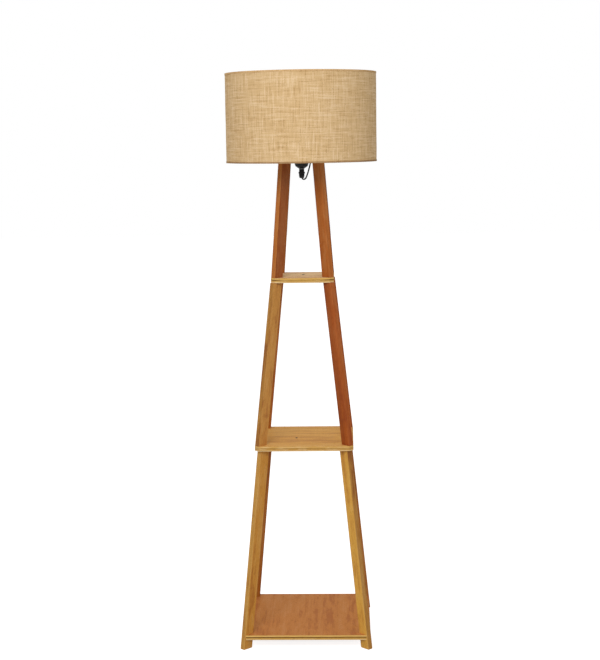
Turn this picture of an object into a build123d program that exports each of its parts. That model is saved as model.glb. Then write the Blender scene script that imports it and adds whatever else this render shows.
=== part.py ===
"""Shelf floor lamp: three square plywood shelves on splayed corner boards, under a drum shade.

Millimetres, Z up, X to the right and Y to the back. The origin is on the floor, on the lamp's axis.
"""

import math
import os

from build123d import *

# ---------------------------------------------------------------- shelves
PLY = 12.0
BASE_WIDTH = 310.0
MIDDLE_WIDTH = 236.0
UPPER_WIDTH = 150.0
BASE_TOP = 35.0
MIDDLE_TOP = 490.0
UPPER_TOP = 889.0
SHELF_EASE = 0.8

# ---------------------------------------------------------------- legs
# A leg is a flat board in the vertical plane through the axis and a corner. Its reach is the
# distance from the axis to its narrow outer face.
LEG_DEPTH = 26.0
LEG_WIDTH = 14.0
LEG_EASE = 1.2
FOOT_REACH = 218.5
LOWER_HEAD_REACH = 152.0
MIDDLE_HEAD_REACH = 102.0
UPPER_HEAD_REACH = 68.0
CORNERS = {"front_left": 225.0, "front_right": 315.0, "back_left": 135.0, "back_right": 45.0}

# ---------------------------------------------------------------- joinery
DOWEL_RADIUS = 3.0
DOWEL_LENGTH = 30.0
STUD_RADIUS = 2.5
STUD_GRIP = 34.0
WOOD_SCREW_RADIUS = 2.0
WOOD_SCREW_HEAD_RADIUS = 4.2
WOOD_SCREW_HEAD_HEIGHT = 3.0
WOOD_SCREW_LENGTH = 45.0

# ---------------------------------------------------------------- lampholder
HOLDER_PLATE_TOP = 1192.0
CAP_RADIUS = 17.3
CAP_BOTTOM = 1145.8
CAP_FLAT_RADIUS = 6.6
CAP_CONE_RADIUS = 14.9
CAP_CONE_HEIGHT = 5.6
CAP_TAPER_HEIGHT = 13.3
CAP_ROUND = 3.0
CAP_WALL = 1.8
CAP_FLOOR = 3.0
CAP_FIT = 0.25
CAP_RIVET_RADIUS = 1.3
CAP_RIVET_HEIGHT = 8.0
CAP_RIVET_DEPTH = 1.4
CAP_RIVET_PROUD = 0.4
GRIP_WASHER_RADIUS = 6.5
GRIP_WASHER_THICKNESS = 1.5
GRIP_NECK_RADIUS = 6.2
GRIP_NECK_LENGTH = 6.5
GRIP_COLLAR_RADIUS = 7.7
GRIP_COLLAR_LENGTH = 4.0
GRIP_NUT_RADIUS = 6.7
GRIP_NUT_TIP_RADIUS = 5.2
GRIP_NUT_LENGTH = 10.8
GRIP_NUT_TAPER = 5.5
GRIP_RIBS = 20
GRIP_RIB_RADIUS = 0.4
FLANGE_RADIUS = 27.0
FLANGE_THICKNESS = 3.0
FLANGE_SCREW_REACH = 22.5
FLANGE_SCREW_RADIUS = 1.5
FLANGE_SCREW_HEAD_RADIUS = 2.8
FLANGE_SCREW_HEAD_HEIGHT = 1.4
FLANGE_SCREW_LENGTH = 10.0
SHOULDER_RADIUS = 24.5
SHOULDER_HEIGHT = 11.0
SKIRT_RADIUS = 19.5
SKIRT_HEIGHT = 40.0
SOCKET_BORE_RADIUS = 14.3
INSULATOR_HEIGHT = 11.0
SHELL_WALL = 0.6
SHELL_HEIGHT = 26.0
CONTACT_RADIUS = 4.0
CONTACT_HEIGHT = 1.2
TERMINAL_RADIUS = 2.2
TERMINAL_HEIGHT = 3.0
TERMINAL_REACH = 8.0
SHADE_RING_RADIUS = 28.0
SHADE_RING_HEIGHT = 8.0
SHADE_RING_RIBS = 24
SHADE_RING_RIB_RADIUS = 0.9
TURN_GAP = 0.3

# ---------------------------------------------------------------- bulb
BULB_CAP_RADIUS = 13.2
BULB_CAP_HEIGHT = 22.0
BULB_TIP_RADIUS = 4.5
BULB_TIP_HEIGHT = 1.5
BULB_BUTTON_RADIUS = 11.0
BULB_BUTTON_HEIGHT = 3.0
BULB_COLLAR_RADIUS = 13.4
BULB_COLLAR_HEIGHT = 3.0
BULB_NECK_HEIGHT = 28.0
BULB_GLOBE_RADIUS = 30.0
BULB_GLOBE_RISE = 20.0

# ---------------------------------------------------------------- shade
SHADE_RADIUS = 180.0
SHADE_BOTTOM = 1161.5
SHADE_HEIGHT = 211.0
FABRIC = 1.0
LINER = 0.5
WIRE_RADIUS = 1.6
ARM_WIRE_RADIUS = 1.5
HEM = 0.6
HEM_BAND = 4.0
HEM_LIP = 4.6
SPIDER_RING_RADIUS = 27.0
SPIDER_RING_THICKNESS = 2.0
SPIDER_BEND_REACH = 140.0
SPIDER_BEND_RADIUS = 12.0
SPIDER_ARMS = (90.0, 210.0, 330.0)
SEAM_WIDTH = 12.0
SEAM_THICKNESS = 0.4

# ---------------------------------------------------------------- lead, switch and plug
CORD_RADIUS = 1.7
CORD_FIT = 0.25
CORE_WAY_RADIUS = 1.2
CLIP_LENGTH = 6.0
CLIP_WALL = 1.5
CLIP_BOSS = 5.0
CLIP_BOSS_THICKNESS = 3.0
NAIL_RADIUS = 0.8
NAIL_HEAD_RADIUS = 1.9
NAIL_HEAD_HEIGHT = 0.8
NAIL_LENGTH = 12.0
SWITCH_CENTRE = (20.0, 112.0)
SWITCH_LENGTH = 62.0
SWITCH_WIDTH = 26.0
SWITCH_HEIGHT = 15.0
SWITCH_SPLIT = 7.0
SWITCH_WALL = 2.2
SWITCH_ROUND = 5.0
SWITCH_SCREW_REACH = 25.0
SWITCH_SCREW_RADIUS = 1.4
SWITCH_SCREW_HEAD_RADIUS = 2.4
SWITCH_SCREW_LENGTH = 9.0
SWITCH_SCREW_OFFSET = 6.5
ROCKER_LENGTH = 20.0
ROCKER_WIDTH = 11.0
ROCKER_DEPTH = 7.0
ROCKER_PROUD = 1.4
ROCKER_DISH = 1.2
ROCKER_PIVOT_DROP = 4.55
ROCKER_TILT = 7.0
ROCKER_SIDE_GAP = 0.4
ROCKER_END_GAP = 1.3
AXLE_RADIUS = 1.2
AXLE_GAP = 0.15
AXLE_BITE = 1.4
RELIEF_LENGTH = 20.0
RELIEF_ROOT_RADIUS = 4.2
RELIEF_TIP_RADIUS = 2.8
COIL_CENTRE = (-45.0, 40.0)
COIL_MID_RADIUS = 20.4
COIL_TURNS_WIDE = 4
COIL_TURNS_HIGH = 2
COIL_LIFT = 0.6
COIL_ROUND = 1.5
TIE_WIDTH = 8.0
TIE_THICKNESS = 0.6
PLUG_PLACE = (66.0, 22.5)
PLUG_LENGTH = 36.0
PLUG_WIDTH = 35.0
PLUG_NECK_WIDTH = 13.0
PLUG_TAPER = 24.0
PLUG_THICKNESS = 14.0
PLUG_ROUND = 2.0
PLUG_RELIEF_LENGTH = 22.0
PIN_RADIUS = 2.0
PIN_LENGTH = 19.0
PIN_ROUND = 1.2
PIN_ROOT = 5.0
PIN_ROOT_RADIUS = 1.7
PIN_SHOULDER = 1.0
PIN_SPACING = 19.0

# Share of the shorter of two runs that the arc between them takes up.
RUN_SHARE = 0.45

# The lead leaves the grip, loops back up under the top plate, runs down the hidden face of the back
# right legs, behind the edge of each shelf, and crosses the floor under the base shelf to the switch.
UPPER_LEAD = [
    (0.0, 0.0, 1192.0), (0.5, 0.4, 1172.0), (0.0, 0.0, 1151.5), (0.1, 0.0, 1135.5),
    (0.2, 0.0, 1120.2), (9.0, -0.5, 1119.8), (14.6, -0.6, 1134.2), (19.2, 0.4, 1150.0),
    (22.4, 4.0, 1165.0), (21.6, 11.5, 1172.0), (19.0, 21.0, 1174.0), (18.0, 31.5, 1173.0),
    (21.5, 41.0, 1167.5), (28.5, 46.5, 1156.0), (34.0, 48.4, 1138.0), (37.5, 50.7, 1108.0),
    (41.2, 54.2, 1058.0), (45.8, 58.7, 990.0), (50.1, 63.2, 940.0), (52.6, 71.5, 916.0),
    (54.5, 80.5, 895.0), (56.0, 81.5, 870.0), (58.1, 77.2, 848.0), (60.9, 74.0, 826.0),
    (64.3, 77.4, 788.0), (69.7, 82.7, 725.0), (76.4, 89.4, 657.0), (83.7, 96.8, 592.0),
    (89.6, 102.8, 544.0), (91.6, 113.4, 519.0), (92.5, 123.6, 498.0), (93.2, 124.6, 470.0),
    (93.1, 117.7, 448.0), (94.9, 108.5, 424.0), (98.5, 111.6, 381.0), (104.4, 117.4, 312.0),
    (111.2, 124.3, 241.0), (118.9, 132.0, 172.0), (125.9, 138.9, 110.0), (130.4, 143.4, 72.0),
    (132.6, 153.0, 54.0), (134.4, 161.6, 40.0), (135.5, 162.6, 27.0), (135.3, 162.1, 16.5),
    (132.4, 158.2, 7.6), (126.6, 150.6, 2.3), (118.0, 140.0, 1.7), (108.5, 127.5, 1.7),
    (98.0, 117.3, 2.1), (86.0, 112.4, 5.6), (73.6, 112.0, 7.5), (62.3, 112.1, 7.5),
    (51.0, 112.0, 7.5),
]
FLOOR_LEAD = [
    (-11.0, 112.0, 7.5), (-22.3, 112.1, 7.5), (-33.6, 112.0, 7.5), (-45.8, 110.4, 5.4),
    (-56.8, 105.2, 2.4), (-65.2, 96.3, 1.7), (-70.3, 84.6, 1.7), (-72.7, 71.8, 1.9),
    (-73.6, 57.6, 2.2), (-73.8, 42.5, 2.3),
]
PLUG_LEAD = [
    (-37.5, 12.1, 5.7), (-26.4, 14.7, 5.0), (-14.6, 16.3, 2.7), (-2.6, 16.8, 1.7),
    (9.6, 17.6, 2.2), (21.1, 19.8, 4.6), (32.5, 21.9, 6.6), (43.8, 22.5, 7.0),
    (55.0, 22.6, 7.0), (66.0, 22.5, 7.0),
]
# Runs of the upper lead that a clip holds to a leg, and the tier that each stands on.
CLIPPED_RUNS = ((15, "upper"), (17, "upper"), (24, "middle"), (27, "middle"), (34, "lower"), (37, "lower"))

# ---------------------------------------------------------------- derived sizes
ROOT2 = math.sqrt(2.0)
CORNER_CUT = LEG_WIDTH / ROOT2
BASE_BOTTOM = BASE_TOP - PLY
MIDDLE_BOTTOM = MIDDLE_TOP - PLY
UPPER_BOTTOM = UPPER_TOP - PLY
HOLDER_PLATE_BOTTOM = HOLDER_PLATE_TOP - PLY
HOLDER_PLATE_WIDTH = UPPER_HEAD_REACH * ROOT2 + CORNER_CUT
FROM_BELOW = (Align.CENTER, Align.CENTER, Align.MIN)

SOLIDS = {}


def keep(name, *solids):
    """Files one sub-part, of one solid or of several alike, under its node's name."""
    SOLIDS[name] = solids[0] if len(solids) == 1 else Compound(children=list(solids))


def post(radius, low, high, place=(0.0, 0.0)):
    """Upright cylinder between two heights."""
    return Pos(place[0], place[1], low) * Cylinder(radius, high - low, align=FROM_BELOW)


def turned(*profile, sweep=360.0):
    """Solid of revolution about Z of a closed outline of (radius, height) points."""
    return revolve(make_face(Plane.XZ * Polyline(*profile, close=True)), Axis.Z, sweep)


def block(low, high):
    """Box between two corners."""
    size = [b - a for a, b in zip(low, high)]
    return Pos(*low) * Box(*size, align=(Align.MIN, Align.MIN, Align.MIN))


def corner_reach(width):
    """Distance from the axis to the cut corner of a square shelf."""
    return (width - CORNER_CUT) / ROOT2


# ---------------------------------------------------------------- legs and shelves
TIERS = {
    "lower": (0.0, FOOT_REACH, MIDDLE_BOTTOM, LOWER_HEAD_REACH),
    "middle": (MIDDLE_TOP, corner_reach(MIDDLE_WIDTH), UPPER_BOTTOM, MIDDLE_HEAD_REACH),
    "upper": (UPPER_TOP, corner_reach(UPPER_WIDTH), HOLDER_PLATE_BOTTOM, UPPER_HEAD_REACH),
}


def tier_reach(tier, height):
    """Reach of a leg's outer face at a height."""
    low, low_reach, high, high_reach = TIERS[tier]
    return low_reach + (high_reach - low_reach) * (height - low) / (high - low)


def upright_slab(outline, angle):
    """Slab of the legs' width from an outline of (reach, height), stood in a corner's plane."""
    return Rot(0, 0, angle) * extrude(make_face(Plane.XZ * outline), LEG_WIDTH / 2, both=True)


def leg(tier, angle):
    """One splayed board with level ends and eased long edges."""
    low, low_reach, high, high_reach = TIERS[tier]
    outline = Polyline(
        (low_reach - LEG_DEPTH, low), (low_reach, low), (high_reach, high), (high_reach - LEG_DEPTH, high),
        close=True,
    )
    board = upright_slab(outline, angle)
    return fillet([edge for edge in board.edges() if edge.length >= high - low], LEG_EASE)


def square_shelf(width, top, corner_cut):
    """Square shelf with eased edges, its corners cut across where the legs' width asks for it."""
    shelf = Pos(0, 0, top - PLY) * Box(width, width, PLY, align=FROM_BELOW)
    if corner_cut:
        shelf = chamfer(shelf.edges().filter_by(Axis.Z), corner_cut)
    return fillet(shelf.edges().group_by(Axis.Z)[0] + shelf.edges().group_by(Axis.Z)[-1], SHELF_EASE)


def leg_slot(angle):
    """What the base shelf loses for one lower leg, open at the corner."""
    low, high = BASE_BOTTOM - PLY, BASE_TOP + PLY
    outline = Polyline(
        (tier_reach("lower", low) - LEG_DEPTH, low), (BASE_WIDTH, low), (BASE_WIDTH, high),
        (tier_reach("lower", high) - LEG_DEPTH, high), close=True,
    )
    return upright_slab(outline, angle)


def base_dowel(angle):
    """Level dowel through the joint of a lower leg's inner face and the base shelf."""
    height = (BASE_TOP + BASE_BOTTOM) / 2
    reach = tier_reach("lower", height) - LEG_DEPTH
    return Rot(0, 0, angle) * Pos(reach, 0, height) * Rot(0, 90, 0) * Cylinder(DOWEL_RADIUS, DOWEL_LENGTH)


def shelf_stud(lower_reach, upper_reach, bottom, top, angle):
    """Double-ended screw through a shelf into the head of one leg and the foot of the next."""
    reach = (lower_reach + upper_reach - LEG_DEPTH) / 2
    return Rot(0, 0, angle) * post(STUD_RADIUS, bottom - STUD_GRIP, top + STUD_GRIP, (reach, 0))


def plate_screw(angle):
    """Countersunk screw from the top plate down into an upper leg."""
    top, bottom = HOLDER_PLATE_TOP, HOLDER_PLATE_TOP - WOOD_SCREW_LENGTH
    middle_height = (HOLDER_PLATE_BOTTOM + bottom) / 2
    screw = turned(
        (0, top), (WOOD_SCREW_HEAD_RADIUS, top), (WOOD_SCREW_RADIUS, top - WOOD_SCREW_HEAD_HEIGHT),
        (WOOD_SCREW_RADIUS, bottom + WOOD_SCREW_RADIUS), (0, bottom),
    )
    return Rot(0, 0, angle) * Pos(tier_reach("upper", middle_height) - LEG_DEPTH / 2, 0, 0) * screw


def frame_parts():
    """Shelves, legs and the screws and dowels that hold them."""
    angles = CORNERS.values()
    dowels = [base_dowel(angle) for angle in angles]
    middle_foot = corner_reach(MIDDLE_WIDTH)
    upper_foot = corner_reach(UPPER_WIDTH)
    middle_studs = [
        shelf_stud(LOWER_HEAD_REACH, middle_foot, MIDDLE_BOTTOM, MIDDLE_TOP, angle) for angle in angles
    ]
    upper_studs = [
        shelf_stud(MIDDLE_HEAD_REACH, upper_foot, UPPER_BOTTOM, UPPER_TOP, angle) for angle in angles
    ]
    plate_screws = [plate_screw(angle) for angle in angles]
    base = square_shelf(BASE_WIDTH, BASE_TOP, 0.0) - [leg_slot(angle) for angle in angles]
    holder_hole = post(CAP_RADIUS + CAP_FIT, HOLDER_PLATE_BOTTOM, HOLDER_PLATE_TOP)
    keep("base_shelf", base - dowels)
    keep("middle_shelf", square_shelf(MIDDLE_WIDTH, MIDDLE_TOP, CORNER_CUT) - middle_studs)
    keep("upper_shelf", square_shelf(UPPER_WIDTH, UPPER_TOP, CORNER_CUT) - upper_studs)
    plate = square_shelf(HOLDER_PLATE_WIDTH, HOLDER_PLATE_TOP, CORNER_CUT) - holder_hole
    keep("top_plate", plate - plate_screws - flange_screws())
    keep("base_dowels", *dowels)
    keep("middle_shelf_screws", *middle_studs)
    keep("upper_shelf_screws", *upper_studs)
    keep("top_plate_screws", *plate_screws)
    nails = {tier: [clip_nail(run) for run, where in CLIPPED_RUNS if where == tier] for tier in TIERS}
    fasteners = {"lower": (dowels, middle_studs), "middle": (middle_studs, upper_studs),
                 "upper": (upper_studs, plate_screws)}
    for number, (corner, angle) in enumerate(CORNERS.items()):
        for tier, (below, above) in fasteners.items():
            cuts = [below[number], above[number]]
            if corner == "back_right":
                cuts += nails[tier]
            keep(f"{tier}_leg_{corner}", leg(tier, angle) - cuts)


# ---------------------------------------------------------------- lampholder
FLANGE_TOP = HOLDER_PLATE_TOP + FLANGE_THICKNESS
SHOULDER_TOP = HOLDER_PLATE_TOP + SHOULDER_HEIGHT
SKIRT_TOP = HOLDER_PLATE_TOP + SKIRT_HEIGHT
INSULATOR_TOP = HOLDER_PLATE_TOP + INSULATOR_HEIGHT
GRIP_TOP = CAP_BOTTOM - GRIP_WASHER_THICKNESS
COLLAR_TOP = GRIP_TOP - GRIP_NECK_LENGTH
COLLAR_BOTTOM = COLLAR_TOP - GRIP_COLLAR_LENGTH
GRIP_BOTTOM = COLLAR_BOTTOM - GRIP_NUT_LENGTH
CORD_BORE = CORD_RADIUS + CORD_FIT
SPIDER_BOTTOM = SHOULDER_TOP + TURN_GAP
SPIDER_TOP = SPIDER_BOTTOM + SPIDER_RING_THICKNESS


def domed_cup():
    """Cap whose lower end closes in a slight taper and then a cone, with rounded corners between."""
    cup = turned(
        (0, CAP_BOTTOM), (CAP_FLAT_RADIUS, CAP_BOTTOM), (CAP_CONE_RADIUS, CAP_BOTTOM + CAP_CONE_HEIGHT),
        (CAP_RADIUS, CAP_BOTTOM + CAP_TAPER_HEIGHT), (CAP_RADIUS, HOLDER_PLATE_TOP), (0, HOLDER_PLATE_TOP),
    )
    rings = cup.edges().filter_by(GeomType.CIRCLE).group_by(Axis.Z)
    return fillet(rings[1] + rings[2], CAP_ROUND)


def ribs(count, radius, reach, low, high):
    """Grooves cut round a grip."""
    return [Rot(0, 0, 360.0 / count * k) * post(radius, low, high, (reach, 0)) for k in range(count)]


def cap_rivets():
    """Four small rivets round the cap's shoulder."""
    height = CAP_BOTTOM + CAP_RIVET_HEIGHT
    length = CAP_RIVET_DEPTH + CAP_RIVET_PROUD
    up_the_taper = (CAP_RIVET_HEIGHT - CAP_CONE_HEIGHT) / (CAP_TAPER_HEIGHT - CAP_CONE_HEIGHT)
    surface = CAP_CONE_RADIUS + (CAP_RADIUS - CAP_CONE_RADIUS) * up_the_taper
    reach = surface + CAP_RIVET_PROUD - length / 2
    return [
        Rot(0, 0, angle) * Pos(reach, 0, height) * Rot(0, 90, 0) * Cylinder(CAP_RIVET_RADIUS, length)
        for angle in CORNERS.values()
    ]


def flange_screws():
    """Two screws that hold the flange down on the top plate."""
    screws = []
    for side in (-1, 1):
        place = (0, side * FLANGE_SCREW_REACH)
        head = post(FLANGE_SCREW_HEAD_RADIUS, FLANGE_TOP, FLANGE_TOP + FLANGE_SCREW_HEAD_HEIGHT, place)
        screws.append(head + post(FLANGE_SCREW_RADIUS, FLANGE_TOP - FLANGE_SCREW_LENGTH, FLANGE_TOP, place))
    return screws


def cord_grip():
    """Washer, ribbed body and clamping nut where the lead leaves the cap."""
    washer = turned(
        (CORD_BORE, GRIP_TOP), (GRIP_WASHER_RADIUS, GRIP_TOP), (GRIP_WASHER_RADIUS, CAP_BOTTOM),
        (CORD_BORE, CAP_BOTTOM),
    )
    body = turned(
        (CORD_BORE, COLLAR_BOTTOM), (GRIP_COLLAR_RADIUS, COLLAR_BOTTOM), (GRIP_COLLAR_RADIUS, COLLAR_TOP),
        (GRIP_NECK_RADIUS, COLLAR_TOP), (GRIP_NECK_RADIUS, GRIP_TOP), (CORD_BORE, GRIP_TOP),
    )
    nut = turned(
        (CORD_BORE, GRIP_BOTTOM), (GRIP_NUT_TIP_RADIUS, GRIP_BOTTOM),
        (GRIP_NUT_RADIUS, GRIP_BOTTOM + GRIP_NUT_TAPER), (GRIP_NUT_RADIUS, COLLAR_BOTTOM),
        (CORD_BORE, COLLAR_BOTTOM),
    )
    keep("grip_washer", washer)
    collar_ribs = ribs(GRIP_RIBS, GRIP_RIB_RADIUS, GRIP_COLLAR_RADIUS, COLLAR_BOTTOM, COLLAR_TOP)
    nut_ribs = ribs(GRIP_RIBS, GRIP_RIB_RADIUS, GRIP_NUT_RADIUS, GRIP_BOTTOM, COLLAR_BOTTOM)
    keep("cord_grip_body", body - collar_ribs)
    keep("cord_grip_nut", nut - nut_ribs)


def lampholder_parts():
    """Cap below the top plate, flanged body above it, and the electrical parts inside."""
    hollow = turned(
        (0, CAP_BOTTOM + CAP_FLOOR), (CAP_FLAT_RADIUS, CAP_BOTTOM + CAP_FLOOR),
        (CAP_RADIUS - CAP_WALL, CAP_BOTTOM + CAP_TAPER_HEIGHT), (CAP_RADIUS - CAP_WALL, HOLDER_PLATE_TOP),
        (0, HOLDER_PLATE_TOP),
    )
    rivets = cap_rivets()
    keep("holder_cap", domed_cup() - hollow - post(CORD_BORE, CAP_BOTTOM, HOLDER_PLATE_TOP) - rivets)
    keep("cap_rivets", *rivets)
    cord_grip()
    body = turned(
        (SOCKET_BORE_RADIUS, HOLDER_PLATE_TOP), (FLANGE_RADIUS, HOLDER_PLATE_TOP),
        (FLANGE_RADIUS, FLANGE_TOP), (SHOULDER_RADIUS, FLANGE_TOP), (SHOULDER_RADIUS, SHOULDER_TOP),
        (SKIRT_RADIUS, SHOULDER_TOP), (SKIRT_RADIUS, SKIRT_TOP), (SOCKET_BORE_RADIUS, SKIRT_TOP),
    )
    wells = [
        post(FLANGE_SCREW_HEAD_RADIUS + CAP_FIT, FLANGE_TOP, SHOULDER_TOP, (0, side * FLANGE_SCREW_REACH))
        for side in (-1, 1)
    ]
    keep("holder_body", body - wells - flange_screws())
    keep("flange_screws", *flange_screws())
    keep("insulator", post(SOCKET_BORE_RADIUS, HOLDER_PLATE_TOP, INSULATOR_TOP))
    shell = post(SOCKET_BORE_RADIUS, INSULATOR_TOP, INSULATOR_TOP + SHELL_HEIGHT)
    keep("screw_shell", shell - post(SOCKET_BORE_RADIUS - SHELL_WALL, INSULATOR_TOP, SKIRT_TOP))
    keep("centre_contact", post(CONTACT_RADIUS, INSULATOR_TOP, INSULATOR_TOP + CONTACT_HEIGHT))
    terminal_bottom = HOLDER_PLATE_TOP - TERMINAL_HEIGHT
    terminals = [
        post(TERMINAL_RADIUS, terminal_bottom, HOLDER_PLATE_TOP, (side * TERMINAL_REACH, 0))
        for side in (-1, 1)
    ]
    keep("terminal_screws", *terminals)
    ring_bottom = SPIDER_TOP + TURN_GAP
    ring_top = ring_bottom + SHADE_RING_HEIGHT
    ring = post(SHADE_RING_RADIUS, ring_bottom, ring_top)
    ring -= post(SKIRT_RADIUS + TURN_GAP, ring_bottom, ring_top)
    ring_ribs = ribs(SHADE_RING_RIBS, SHADE_RING_RIB_RADIUS, SHADE_RING_RADIUS, ring_bottom, ring_top)
    keep("shade_ring", ring - ring_ribs)


def bulb_parts():
    """Bulb with a screw cap, standing upright in the lampholder."""
    tip_bottom = INSULATOR_TOP + CONTACT_HEIGHT + TURN_GAP
    button_bottom = tip_bottom + BULB_TIP_HEIGHT
    cap_bottom = button_bottom + BULB_BUTTON_HEIGHT
    cap_top = cap_bottom + BULB_CAP_HEIGHT
    collar_top = cap_top + BULB_COLLAR_HEIGHT
    neck_top = cap_top + BULB_NECK_HEIGHT
    globe_reach = math.sqrt(BULB_GLOBE_RADIUS**2 - BULB_GLOBE_RISE**2)
    keep("bulb_tip", post(BULB_TIP_RADIUS, tip_bottom, button_bottom))
    keep("bulb_button", turned((0, button_bottom), (BULB_TIP_RADIUS, button_bottom),
                               (BULB_BUTTON_RADIUS, cap_bottom), (0, cap_bottom)))
    keep("bulb_cap", post(BULB_CAP_RADIUS, cap_bottom, cap_top))
    keep("bulb_neck", turned((0, cap_top), (BULB_COLLAR_RADIUS, cap_top), (BULB_COLLAR_RADIUS, collar_top),
                             (globe_reach, neck_top), (0, neck_top)))
    globe = Pos(0, 0, neck_top + BULB_GLOBE_RISE) * Sphere(BULB_GLOBE_RADIUS)
    keep("bulb_globe", split(globe, Plane.XY.offset(neck_top), keep=Keep.TOP))


# ---------------------------------------------------------------- shade
SHADE_TOP = SHADE_BOTTOM + SHADE_HEIGHT
SKIN_BOTTOM = SHADE_BOTTOM + HEM
SKIN_TOP = SHADE_TOP - HEM
SKIN_INNER = SHADE_RADIUS - FABRIC
LINER_INNER = SKIN_INNER - LINER
WIRE_REACH = LINER_INNER - WIRE_RADIUS


def drum(outer, inner, bottom, top):
    """Thin upright tube."""
    return turned((inner, bottom), (outer, bottom), (outer, top), (inner, top))


def spider_arm(angle, rim):
    """Wire from the spider's ring, level and then down to the lower rim wire, where it is welded."""
    level = SPIDER_TOP - ARM_WIRE_RADIUS
    end = (WIRE_REACH - ARM_WIRE_RADIUS, SKIN_BOTTOM + WIRE_RADIUS)
    start = (SPIDER_RING_RADIUS - ARM_WIRE_RADIUS, level)
    path = Plane.XZ * FilletPolyline(start, (SPIDER_BEND_REACH, level), end, radius=SPIDER_BEND_RADIUS)
    section = Plane(path @ 0, z_dir=path % 0) * Circle(ARM_WIRE_RADIUS)
    return Rot(0, 0, angle) * sweep(section, path) - rim


def shade_parts():
    """Fabric drum on a liner and two rim wires, hung on a three-armed spider."""
    low_wire = Pos(0, 0, SKIN_BOTTOM + WIRE_RADIUS) * Torus(WIRE_REACH, WIRE_RADIUS)
    high_wire = Pos(0, 0, SKIN_TOP - WIRE_RADIUS) * Torus(WIRE_REACH, WIRE_RADIUS)
    keep("shade_fabric", drum(SHADE_RADIUS, SKIN_INNER, SKIN_BOTTOM, SKIN_TOP))
    keep("shade_liner", drum(SKIN_INNER, LINER_INNER, SKIN_BOTTOM, SKIN_TOP))
    keep("shade_wire_bottom", low_wire)
    keep("shade_wire_top", high_wire)
    outer = SHADE_RADIUS + HEM
    inner = SHADE_RADIUS - HEM_LIP
    keep("shade_hem_bottom", turned(
        (inner, SHADE_BOTTOM), (outer, SHADE_BOTTOM), (outer, SHADE_BOTTOM + HEM_BAND),
        (SHADE_RADIUS, SHADE_BOTTOM + HEM_BAND), (SHADE_RADIUS, SKIN_BOTTOM), (inner, SKIN_BOTTOM),
    ))
    keep("shade_hem_top", turned(
        (inner, SHADE_TOP), (outer, SHADE_TOP), (outer, SHADE_TOP - HEM_BAND),
        (SHADE_RADIUS, SHADE_TOP - HEM_BAND), (SHADE_RADIUS, SKIN_TOP), (inner, SKIN_TOP),
    ))
    ring = drum(SPIDER_RING_RADIUS, SKIRT_RADIUS + TURN_GAP, SPIDER_BOTTOM, SPIDER_TOP)
    arms = [spider_arm(angle, low_wire) for angle in SPIDER_ARMS]
    bore = post(SKIRT_RADIUS + TURN_GAP, SPIDER_BOTTOM - PLY, SPIDER_TOP + PLY)
    keep("shade_spider", ring + arms - bore)
    seam_angle = math.degrees(SEAM_WIDTH / SHADE_RADIUS)
    seam = turned(
        (SHADE_RADIUS, SHADE_BOTTOM + HEM_BAND), (SHADE_RADIUS + SEAM_THICKNESS, SHADE_BOTTOM + HEM_BAND),
        (SHADE_RADIUS + SEAM_THICKNESS, SHADE_TOP - HEM_BAND), (SHADE_RADIUS, SHADE_TOP - HEM_BAND),
        sweep=seam_angle,
    )
    keep("shade_seam", Rot(0, 0, 90.0) * seam)


# ---------------------------------------------------------------- lead
def lead(name, points):
    """Round tube along straight runs joined by tangent arcs as large as the runs allow."""
    corners = [Vector(*point) for point in points]
    runs = [after - before for before, after in zip(corners, corners[1:])]
    radii = []
    for before, after in zip(runs, runs[1:]):
        half_turn = math.radians(before.get_angle(after)) / 2
        radii.append(RUN_SHARE * min(before.length, after.length) / math.tan(half_turn))
    path = FilletPolyline(*points, radius=radii)
    tube = sweep(Plane(path @ 0, z_dir=path % 0) * Circle(CORD_RADIUS), path)
    share = tube.volume / (math.pi * CORD_RADIUS**2 * path.length)
    print(name, "length", round(path.length), "volume share", round(share, 4))
    print(name, "radii", [round(radius, 1) for radius in radii])
    keep(name, tube)


# Square to the hidden wide face of the back right legs.
OFF_FACE = Vector(-1, 1, 0).normalized()


def clip_frame(run):
    """Plane at the middle of a clipped run: X inward over the board, Y off its face, Z down the run."""
    start, end = Vector(*UPPER_LEAD[run]), Vector(*UPPER_LEAD[run + 1])
    run_along = end - start
    along = (run_along - OFF_FACE * run_along.dot(OFF_FACE)).normalized()
    return Plane((start + end) * 0.5, x_dir=OFF_FACE.cross(along), z_dir=along)


def off_leg(run):
    """Distance from the lead's centre to the face of the board, at a clip."""
    return clip_frame(run).origin.dot(OFF_FACE) - LEG_WIDTH / 2


def cable_clip(run):
    """Saddle over the lead with a nailed ear beside it."""
    inner, outer, half = CORD_RADIUS + CORD_FIT, CORD_RADIUS + CORD_FIT + CLIP_WALL, CLIP_LENGTH / 2
    seat = -off_leg(run)
    clip = Cylinder(outer, CLIP_LENGTH) + block((-outer, seat, -half), (outer, 0, half))
    clip += block((0, seat, -half), (outer + CLIP_BOSS, seat + CLIP_BOSS_THICKNESS, half))
    clip -= Cylinder(inner, CLIP_LENGTH) + block((-inner, seat, -half), (inner, 0, half))
    clip -= block((-outer, seat - outer, -half), (outer, seat, half))
    return clip_frame(run) * clip - clip_nail(run)


def clip_nail(run):
    """Nail through a clip's ear into the board."""
    seat = -off_leg(run)
    reach = CORD_RADIUS + CORD_FIT + CLIP_WALL + CLIP_BOSS / 2
    head = post(NAIL_HEAD_RADIUS, CLIP_BOSS_THICKNESS, CLIP_BOSS_THICKNESS + NAIL_HEAD_HEIGHT)
    shank = post(NAIL_RADIUS, CLIP_BOSS_THICKNESS - NAIL_LENGTH, CLIP_BOSS_THICKNESS)
    return clip_frame(run) * (Pos(reach, seat, 0) * Rot(-90, 0, 0) * (head + shank))


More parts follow.
